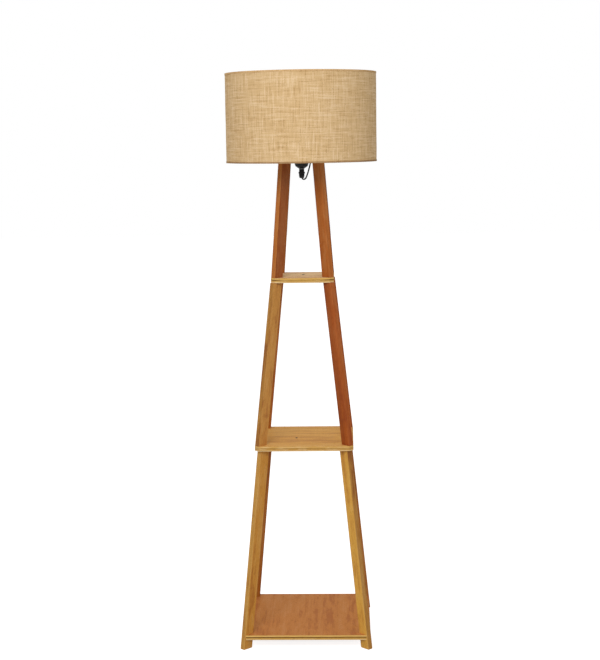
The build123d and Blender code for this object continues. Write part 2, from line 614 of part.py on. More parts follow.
def coil_parts():
    """Outer shape of the wound lead, and the tie round it."""
    across = COIL_TURNS_WIDE * 2 * CORD_RADIUS
    high = COIL_TURNS_HIGH * 2 * CORD_RADIUS
    inner, outer = COIL_MID_RADIUS - across / 2, COIL_MID_RADIUS + across / 2
    ring = drum(outer, inner, COIL_LIFT, COIL_LIFT + high)
    place = Pos(COIL_CENTRE[0], COIL_CENTRE[1], 0)
    keep("lead_coil", place * fillet(ring.edges(), COIL_ROUND))
    # The strap stands clear of the winding all round and rests on the floor.
    strap = block((-TIE_WIDTH / 2, inner - TIE_THICKNESS, 0), (TIE_WIDTH / 2, outer + TIE_THICKNESS,
                                                              COIL_LIFT + high + TIE_THICKNESS))
    strap -= drum(outer, inner, COIL_LIFT, COIL_LIFT + high)
    keep("coil_tie", place * strap)


# ---------------------------------------------------------------- switch
SWITCH_AXIS = SWITCH_HEIGHT / 2
ROCKER_PIVOT = SWITCH_HEIGHT + ROCKER_PROUD - ROCKER_PIVOT_DROP


def along_x(start, end, start_radius, end_radius, height):
    """Tapered round tube along X that holds the lead."""
    cone = turned((CORD_BORE, start), (start_radius, start), (end_radius, end), (CORD_BORE, end))
    return Pos(0, 0, height) * Rot(0, 90, 0) * cone


def rocker():
    """Rocker with a dished top on its axle, pressed down at the end towards +X."""
    half = ROCKER_LENGTH / 2
    top = SWITCH_HEIGHT + ROCKER_PROUD
    bottom = top - ROCKER_DEPTH
    outline = Polyline(
        (-half, bottom), (half, bottom), (half, top), (0, top - ROCKER_DISH), (-half, top), close=True,
    )
    level = extrude(make_face(Plane.XZ * outline), ROCKER_WIDTH / 2, both=True)
    level += axle(AXLE_RADIUS, SWITCH_WIDTH - 2 * SWITCH_WALL + 2 * AXLE_BITE)
    return Pos(0, 0, ROCKER_PIVOT) * Rot(0, ROCKER_TILT, 0) * Pos(0, 0, -ROCKER_PIVOT) * level


def axle(radius, length):
    """Rocker's axle along Y."""
    return Pos(0, 0, ROCKER_PIVOT) * Rot(90, 0, 0) * Cylinder(radius, length)


def switch_parts():
    """Slim switch in the lead: two half shells, a rocker, its screws and the strain reliefs."""
    half, side, wall = SWITCH_LENGTH / 2, SWITCH_WIDTH / 2, SWITCH_WALL
    body = block((-half, -side, 0), (half, side, SWITCH_HEIGHT))
    body = fillet(body.edges().filter_by(Axis.Z), SWITCH_ROUND)
    body = fillet(body.edges().group_by(Axis.Z)[-1], SWITCH_WALL / 2)
    room_half = SWITCH_SCREW_REACH - 2 * SWITCH_SCREW_HEAD_RADIUS
    room = block((-room_half, -side + wall, wall), (room_half, side - wall, SWITCH_HEIGHT - wall))
    core_way = Pos(0, 0, SWITCH_AXIS) * Rot(0, 90, 0) * Cylinder(CORE_WAY_RADIUS, SWITCH_LENGTH)
    screws, wells = [], []
    for end in (-1, 1):
        place = (end * SWITCH_SCREW_REACH, -SWITCH_SCREW_OFFSET)
        head = post(SWITCH_SCREW_HEAD_RADIUS, wall / 2, wall, place)
        screws.append(head + post(SWITCH_SCREW_RADIUS, wall, wall + SWITCH_SCREW_LENGTH, place))
        wells.append(post(SWITCH_SCREW_HEAD_RADIUS, 0, wall / 2, place))
    body = body - room - core_way - screws - wells
    lower = block((-half, -side, 0), (half, side, SWITCH_SPLIT))
    pivot_hole = axle(AXLE_RADIUS + AXLE_GAP, SWITCH_WIDTH - 2 * wall + 2 * (AXLE_BITE + AXLE_GAP))
    mouth = block(
        (-ROCKER_LENGTH / 2 - ROCKER_END_GAP, -ROCKER_WIDTH / 2 - ROCKER_SIDE_GAP, SWITCH_SPLIT),
        (ROCKER_LENGTH / 2 + ROCKER_END_GAP, ROCKER_WIDTH / 2 + ROCKER_SIDE_GAP, SWITCH_HEIGHT),
    )
    place = Pos(SWITCH_CENTRE[0], SWITCH_CENTRE[1], 0)
    keep("switch_base", place * (body & lower))
    keep("switch_cover", place * (body - lower - mouth - pivot_hole))
    keep("switch_rocker", place * rocker())
    keep("switch_screws", *[place * screw for screw in screws])
    reliefs = [
        place * along_x(half, half + RELIEF_LENGTH, RELIEF_ROOT_RADIUS, RELIEF_TIP_RADIUS, SWITCH_AXIS),
        place * along_x(-half - RELIEF_LENGTH, -half, RELIEF_TIP_RADIUS, RELIEF_ROOT_RADIUS, SWITCH_AXIS),
    ]
    keep("switch_reliefs", *reliefs)


# ---------------------------------------------------------------- plug
def plug_parts():
    """Flat two-pin plug with its moulded relief, lying on the floor."""
    axis = PLUG_THICKNESS / 2
    neck, wide = PLUG_NECK_WIDTH / 2, PLUG_WIDTH / 2
    outline = Polyline(
        (0, -neck), (PLUG_TAPER, -wide), (PLUG_LENGTH, -wide), (PLUG_LENGTH, wide), (PLUG_TAPER, wide),
        (0, neck), close=True,
    )
    body = extrude(make_face(outline), PLUG_THICKNESS)
    body = fillet(body.edges(), PLUG_ROUND)
    relief = along_x(-PLUG_RELIEF_LENGTH, 0, RELIEF_TIP_RADIUS, RELIEF_ROOT_RADIUS, axis)
    pins = []
    for side in (-1, 1):
        pin = fillet(post(PIN_RADIUS, PIN_SHOULDER, PIN_LENGTH).edges().group_by(Axis.Z)[-1], PIN_ROUND)
        pin += post(PIN_ROOT_RADIUS, -PIN_ROOT, PIN_SHOULDER)
        pins.append(Pos(PLUG_LENGTH, side * PIN_SPACING / 2, axis) * Rot(0, 90, 0) * pin)
    place = Pos(PLUG_PLACE[0], PLUG_PLACE[1], 0)
    keep("plug_body", place * (body + relief - pins))
    keep("plug_pins", *[place * pin for pin in pins])


def lead_parts():
    """Lead from the lampholder to the plug, with what holds it and what is on it."""
    lead("upper_lead", UPPER_LEAD)
    lead("floor_lead", FLOOR_LEAD)
    lead("plug_lead", PLUG_LEAD)
    coil_parts()
    keep("cable_clips", *[cable_clip(run) for run, _ in CLIPPED_RUNS])
    keep("clip_nails", *[clip_nail(run) for run, _ in CLIPPED_RUNS])


def main():
    """Builds every sub-part and writes one STEP file for each."""
    frame_parts()
    lampholder_parts()
    bulb_parts()
    shade_parts()
    lead_parts()
    switch_parts()
    plug_parts()
    os.makedirs("parts", exist_ok=True)
    for name, solid in SOLIDS.items():
        export_step(solid, f"parts/{name}.step")
    print(len(SOLIDS), "nodes")


main()
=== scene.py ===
"""Shelf floor lamp, dressed: varnished boards, plywood, jute drum shade, lampholder, bulb and lead.

Z is up, X to the right and Y to the back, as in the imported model. Lengths are metres, unless a
class or a function says millimetres.
"""

import logging
import math
from dataclasses import dataclass, field
from enum import Enum
from typing import Callable, ClassVar, Optional, Sequence, Union

import bpy
import numpy as np
from mathutils import Matrix, Vector


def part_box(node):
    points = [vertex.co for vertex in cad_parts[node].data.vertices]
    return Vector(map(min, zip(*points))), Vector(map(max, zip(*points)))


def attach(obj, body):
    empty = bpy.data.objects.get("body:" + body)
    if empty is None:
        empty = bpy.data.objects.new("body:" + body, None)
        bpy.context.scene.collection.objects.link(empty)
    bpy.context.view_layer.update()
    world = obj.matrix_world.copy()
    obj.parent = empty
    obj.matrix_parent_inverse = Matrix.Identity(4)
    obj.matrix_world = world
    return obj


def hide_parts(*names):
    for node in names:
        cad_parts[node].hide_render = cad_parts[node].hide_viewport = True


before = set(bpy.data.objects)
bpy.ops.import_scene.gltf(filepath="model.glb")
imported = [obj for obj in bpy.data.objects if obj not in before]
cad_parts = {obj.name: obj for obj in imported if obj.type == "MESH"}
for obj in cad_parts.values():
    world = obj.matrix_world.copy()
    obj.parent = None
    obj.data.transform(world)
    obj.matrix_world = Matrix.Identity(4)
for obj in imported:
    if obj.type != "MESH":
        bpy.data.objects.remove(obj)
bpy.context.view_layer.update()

MM = 0.001
YARNS_PER_METRE = 1.0 / 0.0017
log = logging.getLogger("floor_lamp")

Colour = tuple[int, int, int]
Material = bpy.types.Material
Piece = bpy.types.Object
Wire = bpy.types.NodeSocket
Outputs = bpy.types.bpy_prop_collection
Value = Union[float, tuple, Wire]
Ripple = Callable[[np.ndarray, np.ndarray], np.ndarray]
Place = tuple[float, float, float]


def linear(colour: Colour) -> tuple[float, float, float, float]:
    """Scene-linear colour of a display colour, by the display's curve.

    Args:
        colour: Red, green and blue, from 0 to 255.

    Returns:
        Red, green and blue from 0 to 1, and full alpha.
    """
    share = np.array(colour, float) / 255
    value = np.where(share <= 0.04045, share / 12.92, ((share + 0.055) / 1.055) ** 2.4)
    return (*(float(v) for v in value), 1.0)


# ------------------------------------------------------------------ node trees
class Socket(Enum):
    """Kinds of socket that a node group may have."""

    FLOAT = "NodeSocketFloat"
    VECTOR = "NodeSocketVector"
    COLOUR = "NodeSocketColor"


@dataclass(frozen=True)
class Tree:
    """Lays out the nodes of one material, world or node group."""

    nodes: bpy.types.NodeTree

    def feed(self, value: Value, socket: Wire) -> None:
        """Links a socket to another, or sets its value.

        Args:
            value: What goes in.
            socket: The input that takes it.
        """
        if isinstance(value, Wire):
            self.nodes.links.new(value, socket)
        else:
            socket.default_value = value

    def add(self, kind: str, inputs: Optional[dict] = None, **settings: object) -> bpy.types.Node:
        """Adds a node.

        Args:
            kind: The node's type name.
            inputs: Values or sockets by input name or number.
            settings: The node's own properties.

        Returns:
            The node.
        """
        node = self.nodes.nodes.new(kind)
        for name, value in settings.items():
            setattr(node, name, value)
        for key, value in (inputs or {}).items():
            self.feed(value, node.inputs[key])
        return node

    def math(self, operation: str, first: Value, second: Value = 0.0) -> Wire:
        """Arithmetic on one or two numbers."""
        return self.add("ShaderNodeMath", {0: first, 1: second}, operation=operation).outputs[0]

    def times(self, first: Value, second: Value) -> Wire:
        """Product of two numbers."""
        return self.math("MULTIPLY", first, second)

    def rest(self, share: Value) -> Wire:
        """What a share leaves of one."""
        return self.math("SUBTRACT", 1.0, share)

    def weigh(self, *terms: tuple[Value, float]) -> Wire:
        """Sum of numbers, each times its weight.

        Args:
            terms: Pairs of a number and its weight.

        Returns:
            The sum.
        """
        total = self.times(*terms[0])
        for value, weight in terms[1:]:
            total = self.add("ShaderNodeMath", {0: value, 1: weight, 2: total},
                             operation="MULTIPLY_ADD").outputs[0]
        return total

    def step(self, value: Value, low: float, high: float) -> Wire:
        """Smooth step from 0 at low to 1 at high."""
        inputs = {"Value": value, "From Min": low, "From Max": high}
        return self.add("ShaderNodeMapRange", inputs, interpolation_type="SMOOTHSTEP").outputs[0]

    def band(self, value: Value, rise: tuple[float, float], fall: tuple[float, float]) -> Wire:
        """Smooth step up over one range, times the rest of a smooth step over a later one."""
        return self.times(self.step(value, *rise), self.rest(self.step(value, *fall)))

    def vector(self, operation: str, first: Value, second: Value = (0.0, 0.0, 0.0)) -> Wire:
        """Arithmetic on vectors, whose result is a number for a length or a dot product."""
        node = self.add("ShaderNodeVectorMath", {0: first, 1: second}, operation=operation)
        return node.outputs["Value" if operation in ("DOT_PRODUCT", "LENGTH") else "Vector"]

    def split(self, vector: Value) -> Outputs:
        """Separates a vector into its three numbers."""
        return self.add("ShaderNodeSeparateXYZ", {0: vector}).outputs

    def join(self, x: Value, y: Value, z: Value) -> Wire:
        """Combines three numbers into a vector."""
        return self.add("ShaderNodeCombineXYZ", {0: x, 1: y, 2: z}).outputs[0]

    def noise(self, vector: Value, scale: float, detail: float = 2.0, rough: float = 0.5,
              bend: float = 0.0, stretch: Optional[Place] = None) -> Wire:
        """Smooth noise from 0 to 1.

        Args:
            vector: Where it is read.
            scale: Blobs in a metre, about.
            detail: Finer noises that are added, each at twice the scale of the last.
            rough: Weight of each finer noise against the last.
            bend: How far the noise bends its own place.
            stretch: Share of the distance along each axis. A small one draws the blobs out.

        Returns:
            The noise.
        """
        if stretch is not None:
            vector = self.vector("MULTIPLY", vector, stretch)
        inputs = {"Vector": vector, "Scale": scale, "Detail": detail, "Roughness": rough,
                  "Distortion": bend}
        return self.add("ShaderNodeTexNoise", inputs).outputs[0]

    def blend(self, factor: Value, first: Value, second: Value, how: str = "MIX") -> Wire:
        """Mix of two colours."""
        inputs = {0: factor, 6: first, 7: second}
        return self.add("ShaderNodeMix", inputs, data_type="RGBA", blend_type=how).outputs[2]

    def seen(self) -> Wire:
        """One where the camera, a reflection or a refraction looks, and nothing elsewhere.

        Returns:
            The number, which is the greatest of the three kinds of ray.
        """
        rays = self.add("ShaderNodeLightPath").outputs
        mirrored = self.math("MAXIMUM", rays["Is Glossy Ray"], rays["Is Transmission Ray"])
        return self.math("MAXIMUM", rays["Is Camera Ray"], mirrored)


@dataclass
class Effect:
    """Node group that more than one material uses, built when it is first placed.

    Its recipe fills the group from its inputs and returns a socket for each output.
    """

    name: str
    inputs: dict[str, Socket]
    outputs: dict[str, Socket]
    recipe: Callable[[Tree, Outputs], dict[str, Wire]]
    group: Optional[bpy.types.NodeTree] = None

    def build(self) -> bpy.types.NodeTree:
        """Makes the group with its sockets and nodes.

        Returns:
            The group.
        """
        group = bpy.data.node_groups.new(self.name, "ShaderNodeTree")
        for way, sockets in (("INPUT", self.inputs), ("OUTPUT", self.outputs)):
            for name, kind in sockets.items():
                group.interface.new_socket(name=name, in_out=way, socket_type=kind.value)
        tree = Tree(group)
        given = tree.add("NodeGroupInput").outputs
        tree.add("NodeGroupOutput", self.recipe(tree, given))
        return group

    def place(self, tree: Tree, **values: Value) -> Outputs:
        """Places the group in a material.

        Args:
            tree: The material's nodes.
            values: A value or a socket for each input.

        Returns:
            The group's outputs.
        """
        if self.group is None:
            self.group = self.build()
        return tree.add("ShaderNodeGroup", values, node_tree=self.group).outputs


def grain_recipe(tree: Tree, given: Outputs) -> dict[str, Wire]:
    """Wood whose grain runs along the third axis.

    The tone is a weighted sum of noises drawn out along the grain, from a hand's breadth down to
    single fibres. Growth lines are a sine of the distance across the board, bent by the slowest
    noise. Pores are the peaks of a very fine noise.

    Args:
        tree: The group to fill.
        given: The group's inputs.

    Returns:
        A socket for each output.
    """
    seed = given["Seed"]
    shift = tree.join(seed, tree.times(seed, 0.37), tree.times(seed, 0.71))
    place = tree.vector("ADD", given["Vector"], shift)
    broad = tree.noise(place, 42.0, bend=0.3, stretch=(1.0, 1.0, 0.05))
    stripe = tree.noise(place, 190.0, detail=3.0, rough=0.6, bend=0.5, stretch=(1.0, 1.0, 0.05))
    cloud = tree.noise(place, 60.0, detail=3.0, rough=0.6, bend=0.4, stretch=(1.0, 1.0, 0.3))
    fibre = tree.noise(place, 950.0, rough=0.6, stretch=(1.0, 1.0, 0.022))
    pore = tree.noise(place, 2200.0, detail=1.0, stretch=(1.0, 1.0, 0.06))
    tone = tree.weigh((broad, 0.32), (stripe, 0.24), (cloud, 0.32), (fibre, 0.12))
    across = tree.split(place)
    line = tree.math("SINE", tree.weigh((across[0], 1300.0), (across[1], 700.0), (broad, 26.0)))
    lines = tree.times(tree.step(line, 0.35, 1.0), given["Figure"])
    pores = tree.times(tree.step(pore, 0.58, 0.68), given["Pores"])
    colour = tree.blend(tree.step(tone, 0.41, 0.50), given["Dark"], given["Middle"])
    colour = tree.blend(tree.step(tone, 0.50, 0.59), colour, given["Light"])
    colour = tree.blend(tree.times(lines, 0.55), colour, given["Dark"])
    colour = tree.blend(pores, colour, (0.50, 0.36, 0.26, 1.0), "MULTIPLY")
    height = tree.weigh((fibre, 0.55), (pores, -0.8), (lines, -0.25))
    rough = tree.math("ADD", tree.weigh((fibre, 0.16), (pores, 0.15)), given["Roughness"])
    return {"Colour": colour, "Roughness": rough, "Height": height}


def layers_recipe(tree: Tree, given: Outputs) -> dict[str, Wire]:
    """Cut edge of plywood, by the share of its thickness from the bottom.

    A cream bottom veneer, a gold layer with a thin glue line, a dark core line of a given strength,
    and a top layer. Noise along the edge bends the layers, wavy streaks of cream run through them,
    and open end grain darkens the gold in spots.

    Args:
        tree: The group to fill.
        given: The group's inputs.

    Returns:
        A socket for each output.
    """
    place = given["Vector"]
    bend = tree.noise(place, 26.0)
    level = tree.weigh((given["Level"], 1.0), (bend, 0.12), (1.0, -0.06))
    pits = tree.noise(place, 620.0, detail=3.0, rough=0.65, stretch=(0.35, 0.35, 1.0))
    wave = tree.noise(place, 420.0, detail=3.0, rough=0.55, bend=0.8, stretch=(0.07, 0.07, 1.0))
    spots = tree.times(tree.step(pits, 0.50, 0.68), 0.35)
    streaks = tree.times(tree.step(wave, 0.48, 0.66), given["Waves"])
    colour = tree.blend(spots, given["Gold"], given["Dark"])
    colour = tree.blend(tree.step(level, 0.67, 0.72), colour, given["Top"])
    colour = tree.blend(streaks, colour, given["Cream"])
    colour = tree.blend(tree.rest(tree.step(level, 0.15, 0.21)), colour, given["Cream"])
    core = tree.times(tree.band(level, rise=(0.48, 0.52), fall=(0.66, 0.70)), given["Core"])
    glue = tree.times(tree.band(level, rise=(0.31, 0.33), fall=(0.345, 0.37)), 0.4)
    lines = tree.math("MAXIMUM", core, glue)
    colour = tree.blend(lines, colour, given["Dark"])
    return {"Colour": colour, "Height": tree.weigh((lines, -0.9), (pits, 0.4))}


def arris_recipe(tree: Tree, given: Outputs) -> dict[str, Wire]:
    """Mask of a bar's long edges: how far a point is into both outer strips, broken up by noise.

    Args:
        tree: The group to fill.
        given: The group's inputs.

    Returns:
        A socket for each output.
    """
    place = tree.split(tree.vector("ABSOLUTE", given["Vector"]))
    size = tree.split(given["Half"])
    near = []
    for axis in (0, 1):
        gap = tree.math("SUBTRACT", size[axis], place[axis])
        near.append(tree.rest(tree.step(gap, 0.0004, 0.0026)))
    patchy = tree.noise(given["Vector"], 90.0, detail=3.0, stretch=(1.0, 1.0, 0.25))
    return {"Mask": tree.times(tree.times(*near), tree.step(patchy, 0.3, 0.62))}


def weave_recipe(tree: Tree, given: Outputs) -> dict[str, Wire]:
    """Plain weave of uneven jute yarn, on flat coordinates in metres.

    Each yarn has its own number, so a noise of that number and of the slow distance along the yarn
    gives tones that run with it. A product of two sines says which yarn lies on top, and the narrow
    gaps where both sines vanish are dark.

    Args:
        tree: The group to fill.
        given: The group's inputs.

    Returns:
        A socket for each output.
    """
    flat = tree.split(given["Vector"])
    tones, heights, crossings = [], [], []
    for across, along, offset in ((flat[1], flat[0], 0.0), (flat[0], flat[1], 53.0)):
        yarn = tree.times(across, YARNS_PER_METRE)
        run = tree.join(tree.times(tree.math("FLOOR", yarn), 1.37), tree.times(along, 15.0), offset)
        tones.append(tree.noise(run, 1.0, detail=3.0, rough=0.62))
        heights.append(tree.math("ABSOLUTE", tree.math("SINE", tree.times(yarn, math.pi))))
        crossings.append(tree.math("SINE", tree.times(along, YARNS_PER_METRE * math.pi)))
    top = tree.step(tree.times(*crossings), -0.25, 0.25)
    tone = tree.math("ADD", tree.times(tones[0], tree.rest(top)), tree.times(tones[1], top))
    mottle = tree.noise(tree.join(flat[0], flat[1], 0.3), 26.0, detail=3.0, rough=0.6)
    tone = tree.weigh((tone, 0.93), (mottle, 0.07), (given["Slub"], 0.16))
    gaps = tree.times(*(tree.rest(tree.step(height, 0.0, 0.55)) for height in heights))
    specks = tree.noise(tree.join(flat[0], tree.times(flat[1], 0.7), 7.0), 330.0, detail=1.0)
    specks = tree.times(tree.step(specks, 0.735, 0.79), 0.7)
    colour = tree.blend(tree.step(tone, 0.36, 0.50), given["Dark"], given["Middle"])
    colour = tree.blend(tree.step(tone, 0.50, 0.66), colour, given["Light"])
    colour = tree.blend(tree.times(gaps, 0.5), colour, given["Fleck"])
    colour = tree.blend(specks, colour, given["Fleck"])
    height = tree.weigh((tree.math("MAXIMUM", *heights), 0.5), (tone, 0.9), (gaps, -0.6))
    return {"Colour": colour, "Height": height}


def skin_recipe(tree: Tree, given: Outputs) -> dict[str, Wire]:
    """Moulded or painted skin: a fine pebble, a slow cloudiness and a few soft scuffs.

    Args:
        tree: The group to fill.
        given: The group's inputs.

    Returns:
        A socket for each output.
    """
    pebble = tree.noise(given["Vector"], 1500.0)
    cloud = tree.noise(given["Vector"], 60.0, detail=3.0)
    scuff = tree.noise(given["Vector"], 210.0, detail=4.0, rough=0.7, bend=1.2)
    scuff = tree.step(scuff, 0.58, 0.75)
    colour = tree.blend(tree.step(cloud, 0.3, 0.7), given["Colour"], given["Tint"])
    colour = tree.blend(tree.times(scuff, 0.25), colour, given["Tint"])
    rough = tree.math("ADD", given["Roughness"], tree.weigh((scuff, 0.12), (cloud, 0.08)))
    return {"Colour": colour, "Roughness": rough, "Height": pebble}


def metal_recipe(tree: Tree, given: Outputs) -> dict[str, Wire]:
    """Drawn or plated metal: fine lines round the Z axis, with dull spots.

    Args:
        tree: The group to fill.
        given: The group's inputs.

    Returns:
        A socket for each output.
    """
    lines = tree.noise(given["Vector"], 2600.0, stretch=(0.15, 0.15, 1.0))
    dull = tree.step(tree.noise(given["Vector"], 300.0, detail=3.0), 0.45, 0.72)
    colour = tree.blend(tree.times(dull, 0.5), given["Colour"], given["Tint"])
    rough = tree.math("ADD", given["Roughness"], tree.weigh((dull, 0.18), (lines, 0.06)))
    return {"Colour": colour, "Roughness": rough, "Height": lines}


# Short names for the kinds of socket in the tables below.
F, V, C = Socket.FLOAT, Socket.VECTOR, Socket.COLOUR
SHADES = {"Light": C, "Middle": C, "Dark": C}
PLAIN = {"Vector": V, "Colour": C, "Tint": C, "Roughness": F}
FINISHED = {"Colour": C, "Roughness": F, "Height": F}
GRAIN = Effect("wood grain",
               {"Vector": V, "Seed": F, **SHADES, "Figure": F, "Pores": F, "Roughness": F},
               FINISHED, grain_recipe)
LAYERS = Effect("plywood layers",
                {"Vector": V, "Level": F, "Top": C, "Gold": C, "Cream": C, "Dark": C, "Core": F,
                 "Waves": F},
                {"Colour": C, "Height": F}, layers_recipe)
ARRIS = Effect("arris edge mask", {"Vector": V, "Half": V}, {"Mask": F}, arris_recipe)
WEAVE = Effect("jute weave", {"Vector": V, "Slub": F, **SHADES, "Fleck": C},
               {"Colour": C, "Height": F}, weave_recipe)
SKIN = Effect("moulded skin", PLAIN, FINISHED, skin_recipe)
METAL = Effect("plated metal", PLAIN, FINISHED, metal_recipe)


# ------------------------------------------------------------------ finishes
@dataclass(frozen=True)
class Surface:
    """A material under way, with its shader and its pattern coordinates."""

    material: Material
    tree: Tree
    shader: bpy.types.Node
    coordinates: Outputs

    @staticmethod
    def begin(name: str) -> "Surface":
        """Starts a material with one Principled shader.

        Args:
            name: The material's name.

        Returns:
            The material under way.
        """
        material = bpy.data.materials.new(name)
        material.use_nodes = True
        tree = Tree(material.node_tree)
        shader = tree.nodes.nodes["Principled BSDF"]
        return Surface(material, tree, shader, tree.add("ShaderNodeTexCoord").outputs)

    def feed(self, **values: Value) -> None:
        """Feeds or sets the shader's own sockets, an underscore standing for a space."""
        for name, value in values.items():
            self.tree.feed(value, self.shader.inputs[name.replace("_", " ")])

    def bump(self, height: Value, depth: float, strength: float) -> None:
        """Feeds the shader's normal with a bump of a depth in metres."""
        inputs = {"Height": height, "Distance": depth, "Strength": strength}
        self.feed(Normal=self.tree.add("ShaderNodeBump", inputs).outputs[0])


@dataclass(frozen=True)
class Tones:
    """Light, middle and dark colour of a wood or a cloth."""

    light: Colour
    middle: Colour
    dark: Colour

    @classmethod
    def around(cls, middle: Colour, spread: float = 0.1) -> "Tones":
        """Tones about a middle one.

        The light one goes 0.8 of the spread of the way to white. The dark one loses 1.2, 1.9 and 2
        times the spread of its red, green and blue, so it is redder too.

        Args:
            middle: The middle colour, from 0 to 255.
            spread: How far the other two are from it.

        Returns:
            The three tones.
        """
        light = tuple(min(255, round(part + (255 - part) * spread * 0.8)) for part in middle)
        dark = tuple(round(part * (1.0 - loss * spread))
                     for part, loss in zip(middle, (1.2, 1.9, 2.0)))
        return cls(light, middle, dark)

    def values(self) -> dict[str, tuple]:
        """The three colours by the names of a node group's inputs."""
        return {"Light": linear(self.light), "Middle": linear(self.middle),
                "Dark": linear(self.dark)}

    def heart(self) -> Colour:
        """Colour of the heartwood, three quarters of the dark one."""
        return tuple(int(part * 0.75) for part in self.dark)


@dataclass(frozen=True)
class BoardFinish:
    """Satin varnish on a solid board, whose wide and narrow faces have tones of their own.

    These tones are partly the wood's own and partly painted light and shade, one face lighter than
    the other as the light falls on it. The seed says where in the pattern it is cut. Its wide faces
    darken towards the lamp's axis by the heart. Its long edges are paled towards the narrow face's
    light tone, a painted highlight where the rounded edges catch the light. The relief is in
    metres, here and below.
    """

    wide: Tones
    narrow: Tones
    seed: float
    heart: float = 0.0
    figure: float = 0.35
    pores: float = 0.6
    roughness: float = 0.42
    gloss: float = 0.15
    # Strength of the painted highlight on the long edges.
    arris_tint: float = 0.4
    relief: float = 0.00012

    def dress(self, name: str, foot: Vector, axes: Matrix, half: tuple[float, float]) -> Material:
        """Makes the material of one board.

        Args:
            name: The material's name.
            foot: Middle of the board's lower end.
            axes: Columns across the narrow face, across the wide face and along the board.
            half: Half the board's depth and half its width.

        Returns:
            The material.
        """
        made = Surface.begin(name)
        tree = made.tree
        mapping = {"Vector": made.coordinates["Object"], "Location": tuple(foot),
                   "Rotation": tuple(axes.to_euler("XYZ"))}
        local = tree.add("ShaderNodeMapping", mapping, vector_type="TEXTURE").outputs[0]
        common = {"Vector": local, "Seed": self.seed, "Figure": self.figure, "Pores": self.pores,
                  "Roughness": self.roughness}
        wide = GRAIN.place(tree, **common, **self.wide.values())
        narrow = GRAIN.place(tree, **common, **self.narrow.values())
        inward = tree.times(tree.step(tree.split(local)[0], half[0], -half[0]), self.heart)
        colour = tree.blend(inward, wide["Colour"], linear(self.wide.heart()))
        # The narrow face takes its own tones, which also hold painted light and shade: how much
        # lighter or darker that face is lit than the wide one.
        outward = tree.vector("DOT_PRODUCT", made.coordinates["Normal"], tuple(axes.col[0]))
        face = tree.step(tree.math("ABSOLUTE", outward), 0.55, 0.8)
        colour = tree.blend(face, colour, narrow["Colour"])
        # Painted highlight: the long edges are paled towards the narrow face's light tone.
        arris = ARRIS.place(tree, Vector=local, Half=(*half, 1.0))["Mask"]
        colour = tree.blend(tree.times(arris, self.arris_tint), colour, linear(self.narrow.light))
        made.feed(Base_Color=colour, Roughness=wide["Roughness"], Specular_IOR_Level=self.gloss)
        made.bump(wide["Height"], self.relief, 0.5)
        return made.material


class GrainWay(Enum):
    """Turn that brings the grain of a level board onto the third axis."""

    SIDEWAYS = (0.0, -math.pi / 2, 0.0)
    FRONT_TO_BACK = (math.pi / 2, 0.0, 0.0)


